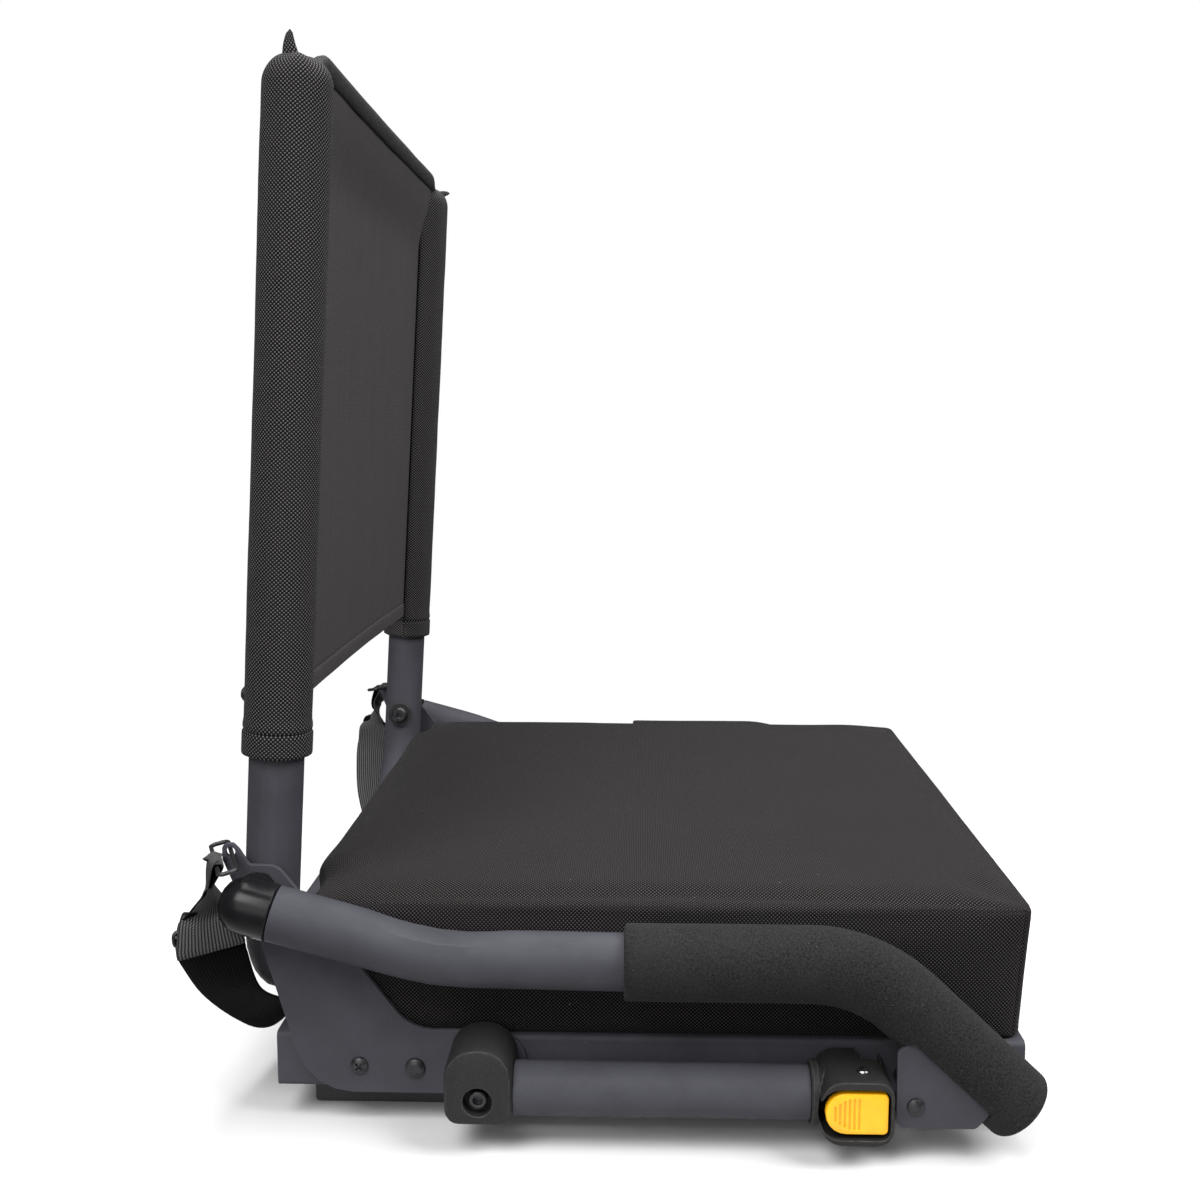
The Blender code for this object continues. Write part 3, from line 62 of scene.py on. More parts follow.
# The model's own sizes that the pieces here follow
SHIFT = 0.0161494  # from the middle of the side rails to the origin, along Y
PIVOT = Vector((0, 0.2200 - SHIFT, 0.1475))
LEAN = radians(3.5)
POST_X = 0.223
POST_R = 0.016
POST_UP = 0.4465
SLEEVE_R = 0.0184
SLEEVE_FROM = 0.0705
PANEL_FROM = 0.0890
ARM_R = 0.016
FOAM_R = 0.0213
ARM_X = 0.2622
ARM_Z = 0.109
ARM_KNEE = -0.121 - SHIFT
ARM_SLOPE = radians(43)
ARM_RUN = 0.1165
ARM_BEND = 0.080
FOAM_FROM = 0.0135 - SHIFT
STRAP_W = 0.032
STRAP_T = 0.0018
TONGUE_X = 0.2640  # the latch button is painted near black inside of this, where its tongue lies in the housing: painted shade
SIDES = ((-1, "right"), (1, "left"))

# Cloth and webbing
YARN = 0.00112  # from yarn to yarn of the woven covers
RIB_PITCH = 0.0016
PICK_PITCH = 0.0014  # of the fine threads across the webbing's ribs
PLAIN_SIDE = 0.1  # the webbing's two faces lie this far to either side of 0 on its UV map
SLEEVE_T = 0.0010
PANEL_T = 0.0016


# Materials


class Finish:
    """A Principled material with short ways to add nodes."""

    def __init__(self, name, rough, metal=0.0, **sockets):
        self.mat = bpy.data.materials.new(name)
        self.mat.use_nodes = True
        self.tree = self.mat.node_tree
        self.shader = self.tree.nodes["Principled BSDF"]
        self.shader.inputs["Roughness"].default_value = rough
        self.shader.inputs["Metallic"].default_value = metal
        for key, value in sockets.items():
            self.shader.inputs[key.replace("_", " ")].default_value = value
        self.normal = None

    def node(self, kind, inputs=(), **props):
        made = self.tree.nodes.new(kind)
        for key, value in props.items():
            setattr(made, key, value)
        for key, value in dict(inputs).items():
            if isinstance(value, bpy.types.NodeSocket):
                self.tree.links.new(value, made.inputs[key])
            else:
                made.inputs[key].default_value = value
        return made

    def math(self, operation, a, b=0.0):
        return self.node("ShaderNodeMath", {0: a, 1: b}, operation=operation).outputs[0]

    def span(self, value, low, high, to_low=0.0, to_high=1.0, smooth=False):
        """Takes low..high to to_low..to_high and stops at both ends."""
        kind = "SMOOTHSTEP" if smooth else "LINEAR"
        inputs = {"Value": value, "From Min": low, "From Max": high, "To Min": to_low, "To Max": to_high}
        return self.node("ShaderNodeMapRange", inputs, interpolation_type=kind).outputs["Result"]

    def mix(self, share, a, b):
        made = self.node("ShaderNodeMix", data_type="RGBA")
        for index, value in ((0, share), (6, a), (7, b)):
            if isinstance(value, bpy.types.NodeSocket):
                self.tree.links.new(value, made.inputs[index])
            elif index == 0:
                made.inputs[0].default_value = value
            else:
                made.inputs[index].default_value = (*value, 1)
        return made.outputs[2]

    def where(self, stretch=(1, 1, 1)):
        """Object coordinates, in metres, stretched along the axes."""
        spot = self.node("ShaderNodeTexCoord").outputs["Object"]
        if stretch == (1, 1, 1):
            return spot
        return self.node("ShaderNodeMapping", {"Vector": spot, "Scale": stretch}).outputs[0]

    def grain(self, scale, detail=3.0, rough=0.55, stretch=(1, 1, 1)):
        inputs = {"Vector": self.where(stretch), "Scale": scale, "Detail": detail, "Roughness": rough}
        return self.node("ShaderNodeTexNoise", inputs).outputs[0]

    def cells(self, scale):
        inputs = {"Vector": self.where(), "Scale": scale}
        return self.node("ShaderNodeTexVoronoi", inputs).outputs["Distance"]

    def specks(self, scale, size):
        """Small sparse dots of lint."""
        near = self.span(self.cells(scale), size * 0.6, size, 1.0, 0.0)
        return self.math("MULTIPLY", near, self.span(self.grain(scale * 0.4, 1.0), 0.50, 0.58))

    def edges(self, radius):
        """Rounds the edges that the light sees and gives a mask of them."""
        soft = self.node("ShaderNodeBevel", {"Radius": radius}, samples=4).outputs[0]
        hard = self.node("ShaderNodeNewGeometry").outputs["Normal"]
        dot = self.node("ShaderNodeVectorMath", {0: soft, 1: hard}, operation="DOT_PRODUCT").outputs["Value"]
        self.normal = soft
        return self.span(dot, 0.995, 0.86)

    def bump(self, height, strength, distance):
        inputs = {"Height": height, "Strength": strength, "Distance": distance}
        if self.normal is not None:
            inputs["Normal"] = self.normal
        self.normal = self.node("ShaderNodeBump", inputs).outputs[0]

    def put(self, colour, rough=None):
        """Joins what was made to the shader."""
        for key, value in (("Base Color", colour), ("Roughness", rough), ("Normal", self.normal)):
            if value is not None:
                self.tree.links.new(value, self.shader.inputs[key])
        return self.mat


def tone(colour, factor):
    """The colour made lighter or darker."""
    return tuple(min(1.0, c * factor) for c in colour)


def powder_coat():
    f = Finish("powder_coat", 0.58, Specular_IOR_Level=0.10)
    colour = (0.0365, 0.0365, 0.0435)
    rim = f.edges(0.0007)
    cloud = f.span(f.grain(38, 4.0), 0.3, 0.7)
    fine = f.grain(2600, 2.0)
    base = f.mix(cloud, tone(colour, 0.86), tone(colour, 1.14))
    base = f.mix(f.span(fine, 0.42, 0.66), base, f.mix(0.5, base, tone(colour, 1.55)))
    # Painted highlight: a thin lighter line along every edge.
    base = f.mix(f.math("MULTIPLY", rim, 0.65), base, tone(colour, 2.6))
    dust = f.specks(55, 0.022)
    base = f.mix(f.math("MULTIPLY", dust, 0.5), base, (0.22, 0.22, 0.23))
    f.bump(fine, 0.22, 0.00012)
    f.bump(f.grain(420, 2.0), 0.10, 0.0002)
    return f.put(base, f.span(f.grain(90, 3.0), 0.3, 0.7, 0.50, 0.66))


def woven(name, colour, depth, lint, streaks=0.0):
    """Plain weave of flat yarns on the piece's UV map, which is in metres, with painted shade between the
    yarns and painted highlight where they cross.
    """
    f = Finish(name, 0.86, Sheen_Weight=0.02, Sheen_Roughness=0.45, Specular_IOR_Level=0.10)
    flat = f.node("ShaderNodeUVMap").outputs["UV"]
    wobble = f.node("ShaderNodeTexNoise", {"Vector": flat, "Scale": 160.0, "Detail": 2.0}).outputs["Color"]
    shaken = f.node("ShaderNodeVectorMath", {0: wobble, 1: (0.00035, 0.00035, 0.0)}, operation="MULTIPLY")
    spot = f.node("ShaderNodeVectorMath", {0: flat, 1: shaken.outputs[0]}, operation="ADD").outputs[0]
    part = f.node("ShaderNodeSeparateXYZ", {0: spot})
    warp = f.math("SINE", f.math("MULTIPLY", part.outputs[0], pi / YARN))
    weft = f.math("SINE", f.math("MULTIPLY", part.outputs[1], pi / YARN))
    both = f.math("MULTIPLY", warp, weft)
    over = f.span(both, 0.06, 0.58, smooth=True)
    height = f.math("POWER", f.math("ABSOLUTE", both), 0.6)
    cloud = f.span(f.grain(14, 4.0), 0.3, 0.7)
    # Painted shade in the gaps between yarns and painted highlight on their crossings; depth sets how strong.
    base = f.mix(over, tone(colour, 1 - depth), tone(colour, 1 + 3 * depth))
    base = f.mix(f.math("MULTIPLY", cloud, 0.35), base, f.mix(0.5, base, tone(colour, 0.75)))
    if streaks:
        drawn = f.node("ShaderNodeMapping", {"Vector": flat, "Scale": (260.0, 9.0, 1.0)}).outputs[0]
        inputs = {"Vector": drawn, "Scale": 1.0, "Detail": 3.0}
        line = f.node("ShaderNodeTexNoise", inputs).outputs[0]
        base = f.mix(f.math("MULTIPLY", f.span(line, 0.35, 0.75), streaks), base, tone(colour, 1.5))
    base = f.mix(f.math("MULTIPLY", f.specks(85, 0.046), lint), base, (0.22, 0.205, 0.195))
    f.bump(height, 0.55, 0.00030)
    f.bump(f.grain(60, 3.0), 0.12, 0.0008)
    return f.put(base, f.span(both, -1.0, 1.0, 0.92, 0.78))


def foam_skin():
    f = Finish("foam_skin", 0.93, Sheen_Weight=0.02, Sheen_Roughness=0.5, Specular_IOR_Level=0.10)
    colour = (0.0120, 0.0115, 0.0118)
    cell = f.cells(1150)
    fine = f.grain(900, 3.0, 0.7)
    base = f.mix(f.span(fine, 0.36, 0.66), tone(colour, 0.42), tone(colour, 1.75))
    base = f.mix(f.span(f.grain(30, 4.0), 0.45, 0.75, 0.0, 0.4), base, tone(colour, 1.7))
    base = f.mix(f.math("MULTIPLY", f.specks(190, 0.075), 0.45), base, (0.13, 0.125, 0.12))
    f.bump(cell, 0.5, 0.00035)
    f.bump(fine, 0.35, 0.00025)
    return f.put(base, f.span(fine, 0.3, 0.7, 0.88, 0.98))


def gloss_cap():
    f = Finish("gloss_cap", 0.26, Specular_IOR_Level=0.14)
    colour = (0.0046, 0.0046, 0.0052)
    smear = f.span(f.grain(55, 4.0), 0.35, 0.7)
    f.edges(0.0006)
    f.bump(f.grain(900, 2.0), 0.05, 0.0002)
    base = f.mix(smear, colour, tone(colour, 1.5))
    base = f.mix(f.math("MULTIPLY", f.specks(90, 0.03), 0.4), base, (0.12, 0.12, 0.12))
    return f.put(base, f.span(smear, 0.0, 1.0, 0.20, 0.32))


def block_nylon():
    f = Finish("block_nylon", 0.62, Specular_IOR_Level=0.20)
    colour = (0.0135, 0.0130, 0.0130)
    rim = f.edges(0.0011)
    spark = f.grain(1700, 2.0, 0.6)
    base = f.mix(f.span(spark, 0.40, 0.68), tone(colour, 0.72), tone(colour, 1.55))
    # Painted highlight: the edges are painted lighter where light catches them, broken up by noise.
    scuff = f.math("MULTIPLY", rim, f.span(f.grain(260, 3.0), 0.30, 0.62))
    base = f.mix(f.math("MULTIPLY", scuff, 0.75), base, (0.105, 0.098, 0.092))
    f.bump(spark, 0.45, 0.00022)
    return f.put(base, f.span(spark, 0.3, 0.7, 0.52, 0.72))


def button_yellow():
    f = Finish("button_yellow", 0.36, Subsurface_Weight=0.08, Subsurface_Scale=0.002)
    colour = (0.84, 0.40, 0.0040)
    f.edges(0.0005)
    cloud = f.span(f.grain(120, 3.0), 0.3, 0.7)
    base = f.mix(cloud, tone(colour, 0.93), tone(colour, 1.06))
    base = f.mix(f.math("MULTIPLY", f.specks(160, 0.03), 0.5), base, (0.45, 0.26, 0.03))
    # Painted shade: the tongue, inside TONGUE_X, is coloured near black.
    side = f.node("ShaderNodeSeparateXYZ", {0: f.where()}).outputs[0]
    inner = f.span(f.math("ABSOLUTE", side), TONGUE_X, TONGUE_X + 0.0006, 1.0, 0.0)
    base = f.mix(inner, base, (0.030, 0.030, 0.031))
    f.bump(f.grain(1500, 2.0), 0.10, 0.00015)
    return f.put(base, f.span(cloud, 0.0, 1.0, 0.32, 0.44))


def black_oxide():
    f = Finish("black_oxide", 0.38, 0.75)
    rim = f.edges(0.0004)
    cloud = f.span(f.grain(240, 4.0), 0.3, 0.7)
    base = f.mix(cloud, (0.022, 0.022, 0.024), (0.045, 0.045, 0.048))
    # Painted highlight: a lighter line along the edges, for glints.
    base = f.mix(f.math("MULTIPLY", rim, 0.5), base, (0.16, 0.16, 0.165))
    f.bump(f.grain(1900, 2.0), 0.12, 0.0001)
    return f.put(base, f.span(cloud, 0.0, 1.0, 0.30, 0.46))


def bright_zinc():
    f = Finish("bright_zinc", 0.26, 1.0)
    f.edges(0.0003)
    cloud = f.span(f.grain(420, 4.0), 0.3, 0.7)
    base = f.mix(cloud, (0.46, 0.46, 0.48), (0.66, 0.66, 0.68))
    f.bump(f.grain(2200, 2.0, stretch=(1, 1, 6)), 0.08, 0.0001)
    return f.put(base, f.span(cloud, 0.0, 1.0, 0.18, 0.36))


def ribbed_webbing():
    """Lengthwise ribs crossed by fine picks, on a UV map in metres, with painted highlight on the ribs and
    painted shade between them; the other face is plain and painted near black, as painted shade.
    """
    f = Finish("ribbed_webbing", 0.80, Sheen_Weight=0.01, Sheen_Roughness=0.4, Specular_IOR_Level=0.05)
    colour = (0.0165, 0.0160, 0.0162)
    flat = f.node("ShaderNodeUVMap").outputs["UV"]
    part = f.node("ShaderNodeSeparateXYZ", {0: flat})
    rib = f.math("ABSOLUTE", f.math("SINE", f.math("MULTIPLY", part.outputs[0], pi / RIB_PITCH)))
    lean = f.math("ADD", part.outputs[1], f.math("MULTIPLY", part.outputs[0], 0.55))
    pick = f.math("SINE", f.math("MULTIPLY", lean, 2 * pi / PICK_PITCH))
    mesh = f.math("MULTIPLY", rib, f.span(pick, -1.0, 1.0, 0.55, 1.0))
    # Painted highlight on the ribs' crowns and painted shade in the grooves between them.
    base = f.mix(f.span(mesh, 0.1, 0.95), tone(colour, 0.25), tone(colour, 6.0))
    # Painted shade: the strap's other face, seen where its run lies in shadow, is painted near black.
    plain = f.math("LESS_THAN", part.outputs[0], 0.0)
    base = f.mix(plain, base, f.mix(f.span(mesh, 0.3, 0.9), tone(colour, 0.03), tone(colour, 0.06)))
    base = f.mix(f.math("MULTIPLY", f.specks(120, 0.03), 0.4), base, (0.1, 0.095, 0.09))
    f.bump(mesh, 0.7, 0.0004)
    return f.put(base, f.span(mesh, 0.0, 1.0, 0.92, 0.68))


def plywood():
    f = Finish("plywood", 0.66)
    ring = f.node("ShaderNodeTexWave", {
        "Vector": f.where((9, 1.2, 160)), "Scale": 1.6, "Distortion": 9.0, "Detail": 3.0, "Detail Scale": 1.4,
    }).outputs[1]
    pore = f.grain(260, 3.0, stretch=(1, 0.05, 1))
    base = f.mix(ring, (0.30, 0.19, 0.095), (0.47, 0.33, 0.185))
    base = f.mix(f.span(pore, 0.5, 0.72), base, (0.22, 0.13, 0.06))
    f.bump(pore, 0.2, 0.0003)
    return f.put(base, f.span(pore, 0.3, 0.7, 0.58, 0.76))


def foot_rubber():
    f = Finish("foot_rubber", 0.82)
    f.edges(0.0006)
    fine = f.grain(900, 3.0)
    scuff = f.span(f.grain(130, 4.0, stretch=(1, 0.15, 1)), 0.55, 0.75)
    base = f.mix(f.span(fine, 0.35, 0.7), (0.020, 0.020, 0.021), (0.040, 0.039, 0.040))
    base = f.mix(f.math("MULTIPLY", scuff, 0.5), base, (0.06, 0.058, 0.056))
    f.bump(fine, 0.3, 0.0002)
    return f.put(base, f.span(fine, 0.3, 0.7, 0.74, 0.90))


FINISHES = {
    "frame_paint": powder_coat(),
    "cushion_cloth": woven("cushion_weave", (0.0112, 0.0100, 0.0100), 0.97, lint=0.45),
    "cover_cloth": woven("cover_weave", (0.0235, 0.0220, 0.0230), 0.97, lint=0.15),
    # Painted light: the back cover's cloth again, painted lighter and with less painted weave shade, where
    # the panel faces the light.
    "panel_cloth_painted_light": woven("panel_weave_painted_light", (0.0365, 0.0335, 0.0345), 0.40, lint=0.15, streaks=0.35),
    "grip_foam": foam_skin(),
    "cap_plastic": gloss_cap(),
    "block_plastic": block_nylon(),
    "button_plastic": button_yellow(),
    "black_steel": black_oxide(),
    "bright_steel": bright_zinc(),
    "webbing": ribbed_webbing(),
    "board_wood": plywood(),
    "foot_rubber": foot_rubber(),
}


# Mesh helpers


def piece(name, verts, faces, flat, slot, body, *stands_for):
    """A smooth mesh that rides on body; flat gives each vertex its place on the UV map, in metres."""
    mesh = bpy.data.meshes.new(name)
    mesh.from_pydata([tuple(v) for v in verts], [], faces)
    if flat is not None:
        layer = mesh.uv_layers.new(name="UVMap")
        for loop in mesh.loops:
            layer.data[loop.index].uv = flat[loop.vertex_index]
    for face in mesh.polygons:
        face.use_smooth = True
    mesh.materials.append(FINISHES[slot])
    made = bpy.data.objects.new(name, mesh)
    bpy.context.scene.collection.objects.link(made)
    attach(made, body)
    if stands_for:
        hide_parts(*stands_for)
    return made


class Patch:
    """Collects rows of points into quads, with a UV place for each point."""

    def __init__(self):
        self.verts, self.faces, self.flat = [], [], []

    def rows(self, rows):
        """rows is a list of equally long lists of (point, (u, v))."""
        wide = len(rows[0])
        first = len(self.verts)
        for row in rows:
            self.verts += [p for p, _ in row]
            self.flat += [uv for _, uv in row]
        for j in range(len(rows) - 1):
            for i in range(wide - 1):
                a = first + j * wide + i
                self.faces.append((a, a + 1, a + wide + 1, a + wide))

    def lid(self, row, flip=False):
        """One flat face over a ring of points."""
        first = len(self.verts)
        self.verts += [p for p, _ in row]
        self.flat += [uv for _, uv in row]
        ring = list(range(first, first + len(row)))
        self.faces.append(tuple(ring[::-1] if flip else ring))

    def make(self, name, slot, body, *stands_for):
        return piece(name, self.verts, self.faces, self.flat, slot, body, *stands_for)


def thicken(obj, thick, offset):
    """Gives a sheet its thickness, on the side that offset says."""
    step = obj.modifiers.new("cloth_thickness", "SOLIDIFY")
    step.thickness = thick
    step.offset = offset


def ease(t):
    """0 up to t = 0, 1 from t = 1 on, and a soft step between."""
    t = min(1.0, max(0.0, t))
    return t * t * (3 - 2 * t)


def ruffle(x, y, z, scale):
    """Smooth noise from about -1 to 1."""
    return noise.noise(Vector((x * scale, y * scale, z * scale)))


# Back cover

HEM_STITCH = 0.0838  # height of the stitched line over the sleeves' hem
HEM_ROWS = (0.0815, 0.0826, 0.0832, HEM_STITCH, 0.0844, 0.0850, 0.0862, 0.0880, 0.0905, 0.0940)
LIP_ROWS = (0, 0.0006, 0.0016, 0.004, 0.008)
DOME_RISE = 0.0150  # of the sleeves' closed tops
PANEL_TOP = 0.4550
PANEL_STITCH = 0.0113  # the same line over the panel's hem, from its lower edge
PANEL_ROWS = (0.0, 0.0008, 0.003, 0.007, 0.0100, 0.0107, PANEL_STITCH, 0.0119, 0.0126, 0.0150)
HEM_Y, HEM_Z = -0.0072, 0.4600  # the middle of the rolled hem along the panel's top


def on_back(x, y, z):
    """A place in the back's own frame, where z runs up the posts, as a place in the scene."""
    return PIVOT + Matrix.Rotation(LEAN, 3, "X") @ Vector((x, y, z))


def sleeve_radius(a, z):
    """The sleeve's radius at angle a from the panel, at height z: hem, seam and slack included."""
    hem = 0.0009 if z < HEM_STITCH else 0.0
    groove = -0.0011 * exp(-((z - HEM_STITCH) / 0.0006) ** 2)
    puff = 0.0006 * exp(-((z - 0.0870) / 0.0022) ** 2)
    back = min(a, 2 * pi - a)
    seam = 0.0036 * exp(-(back / 0.30) ** 2) * ease((z - 0.080) / 0.012)
    slack = 0.00035 * ruffle(cos(a), sin(a), z * 9, 1.7)
    slack += 0.00016 * ruffle(cos(a) * 3, sin(a) * 3, z * 60, 1.0)
    return SLEEVE_R + hem + groove + puff + seam + slack


def sleeve(s, side):
    """Cloth tube over a post, with a turned lip and a hem at its foot and a gathered, closed top."""
    count, steps, domes = 72, 64, 14
    shoulder = POST_UP - 0.0045
    levels = [SLEEVE_FROM + 0.0004 + d for d in LIP_ROWS]
    levels += HEM_ROWS
    levels += [HEM_ROWS[-1] + (shoulder - HEM_ROWS[-1]) * k / steps for k in range(1, steps + 1)]
    rows = []
    lip = (
        (POST_R + 0.0005, SLEEVE_FROM + 0.004),
        (SLEEVE_R - 0.0008, SLEEVE_FROM + 0.0006),
        (SLEEVE_R, SLEEVE_FROM),
    )
    for radius, z in lip:
        rows.append([(radius, radius, z, 2 * pi * k / count) for k in range(count + 1)])
    for z in levels:
        ring = []
        for k in range(count + 1):
            a = 2 * pi * k / count
            r = sleeve_radius(a, z)
            ring.append((r, r, z, a))
        rows.append(ring)
    for k in range(1, domes + 1):
        t = radians(90 * k / domes)
        wide, deep = max(cos(t), 0.0) ** 0.42, max(cos(t), 0.0) ** 0.80
        ring = []
        for n in range(count + 1):
            a = 2 * pi * n / count
            r = sleeve_radius(a, shoulder) * (1 + 0.030 * sin(t) * sin(7 * a + 0.6) * cos(t))
            rise = DOME_RISE * sin(t) + 0.0006 * sin(5 * a) * sin(2 * t)
            ring.append((r * wide, r * deep, shoulder + rise, a))
        rows.append(ring)
    placed = []
    for ring in rows:
        placed.append([
            (on_back(s * (POST_X - rx * cos(a)), -ry * sin(a), z), (SLEEVE_R * a * -s, z))
            for rx, ry, z, a in ring
        ])
    if s > 0:
        placed = [row[::-1] for row in placed]
    body = Patch()
    body.rows(placed)
    ear(body, s)
    return body.make(side + "_sleeve", "cover_cloth", "backrest", "back_cover")


def ear(body, s):
    """The pinched corner of the sleeve's top seam."""
    if s < 0:
        root = Vector((s * (POST_X + 0.0075), 0.0010, 0.4535))
        tip = Vector((s * (POST_X + 0.0085), 0.0030, 0.4698))
        side, wide, thin = Vector((0.25 * s, 1, 0)), 0.0050, 0.0030
    else:
        root = Vector((s * POST_X, -0.0090, 0.4500))
        tip = Vector((s * (POST_X + 0.001), -0.0205, 0.4550))
        side, wide, thin = Vector((0, 0.5, 1)), 0.0042, 0.0028
    way = (tip - root).normalized()
    side = (side - way * side.dot(way)).normalized()
    other = way.cross(side)
    steps, count = 8, 16
    rows = []
    for k in range(steps + 1):
        t = k / steps
        size = (1 - t) ** 0.8 * 0.80 + 0.20 if k < steps else 0.02
        mid = root.lerp(tip, t) + side * (0.0009 * sin(pi * t))
        row = []
        for n in range(count + 1):
            a = 2 * pi * n / count
            fold = 1 + 0.16 * sin(3 * a + 1.0)
            p = mid + side * (wide * size * fold * cos(a)) + other * (thin * size * fold * sin(a))
            row.append((on_back(*p), (0.004 * a, 0.5 + t * 0.016)))
        rows.append(row)
    body.rows(rows)


def panel_y(x, z):
    """How far behind the posts' plane the panel lies."""
    across = cos(pi / 2 * min(1.0, abs(x) / POST_X))
    pull = ease((z - 0.400) / (PANEL_TOP - 0.400))
    flat = 0.0020 + 0.0030 * across * (1 - pull) + (HEM_Y + 0.0015 - 0.0020) * pull
    return flat + 0.0006 * ruffle(x * 6, 0.3, z * 2.2, 1.0) + 0.0002 * ruffle(x * 30, 0.9, z * 8, 1.0)


def back_panel():
    """Stretched cloth between the sleeves with a sewn bottom hem."""
    half = POST_X - SLEEVE_R + 0.0012
    wide, tall = 88, 70
    heights = [PANEL_FROM + d for d in PANEL_ROWS]
    start = heights[-1]
    heights += [start + (PANEL_TOP - start) * k / tall for k in range(1, tall + 1)]
    rows = []
    for z in heights:
        up = z - PANEL_FROM
        fat = 0.0007 * (1 - ease((up - 0.0100) / 0.0020))
        fat -= 0.0008 * exp(-((up - PANEL_STITCH) / 0.0005) ** 2)
        row = []
        for k in range(wide + 1):
            x = -half + 2 * half * k / wide
            row.append((on_back(x, panel_y(x, z) - fat, z), (x, z)))
        rows.append(row)
    body = Patch()
    body.rows(rows)
    panel = body.make("back_panel", "cover_cloth", "backrest", "back_cover")
    # Painted light: the panel gets the lighter copy of the cover cloth.
    panel.data.materials[0] = FINISHES["panel_cloth_painted_light"]
    thicken(panel, PANEL_T, 1.0)


def top_hem():
    """The rolled hem along the panel's top; its ends are pressed flat and tucked behind the sleeves' tops."""
    half = POST_X - 0.0090
    wide, count = 72, 24
    rows = []
    for k in range(wide + 1):
        x = -half + 2 * half * k / wide
        tuck = exp(-((half - abs(x)) / 0.0110) ** 2)
        sag = 0.0012 * cos(pi / 2 * x / half) + 0.0004 * ruffle(x * 18, 0.2, 0.7, 1.0) + 0.0052 * tuck
        row = []
        for n in range(count + 1):
            a = 2 * pi * n / count
            y = HEM_Y + 0.0022 * tuck + 0.0046 * (1 + 0.25 * tuck) * cos(a) * (0.80 + 0.20 * sin(a))
            z = HEM_Z - sag + 0.0062 * (1 - 0.45 * tuck) * sin(a)
            row.append((on_back(x, y, z), (x, 0.0055 * a)))
        rows.append(row)
    body = Patch()
    body.rows(rows)
    body.lid(rows[0][:-1])
    body.lid(rows[-1][:-1], True)
    body.make("back_top_hem", "cover_cloth", "backrest", "back_cover")


# Seat cushion

CUSHION_TALL = 0.0790  # before it is blown up
CORNER_R = 0.0115  # of its upright corners
EDGE_R, REAR_EDGE_R, LOW_EDGE_R = 0.0065, 0.0032, 0.003  # the roll of its top edges and of its bottom edge
POCKET_IN, POCKET_UP = 0.0110, 0.0066  # the pocket for the seat board, from the side and from below
SEAM_AT = 4  # the row of points that the front corner seams lie on
REAR_BULGE = 0.0080  # how far its rear edge swells over the rear rail, between the posts
FRONT_TAPER = 0.0065  # how much further forward the cushion's top is than its bottom
NEAR_SIDE = (0, 1.2, 2.4, 3.6, 4.8, 6.0, 8.5, 11.5)  # mm from an edge, for the close rows of points
NEAR_TOP = (0, 1.2, 2.4, 3.6, 5.0, 8.0)
ROW_GAP = 0.0085  # between the other rows
BLOW_STEPS = 20  # frames of the cloth simulation


def spread(length, near):
    """Places along a side of the cushion, close together near both ends."""
    edge = [d / 1000 for d in near]
    inner = length - 2 * edge[-1]
    count = round(inner / ROW_GAP)
    mid = [edge[-1] + inner * k / count for k in range(1, count)]
    return edge + mid + [length - d for d in reversed(edge)]


def round_off(over, up, radius):
    """Moves a corner point of a square section onto its fillet; over and up are 0 at the outer faces."""
    a, b = radius - over, radius - up
    if a <= 0 or b <= 0:
        return over, up
    share = max(a, b) / hypot(a, b)
    return radius - a * share, radius - b * share


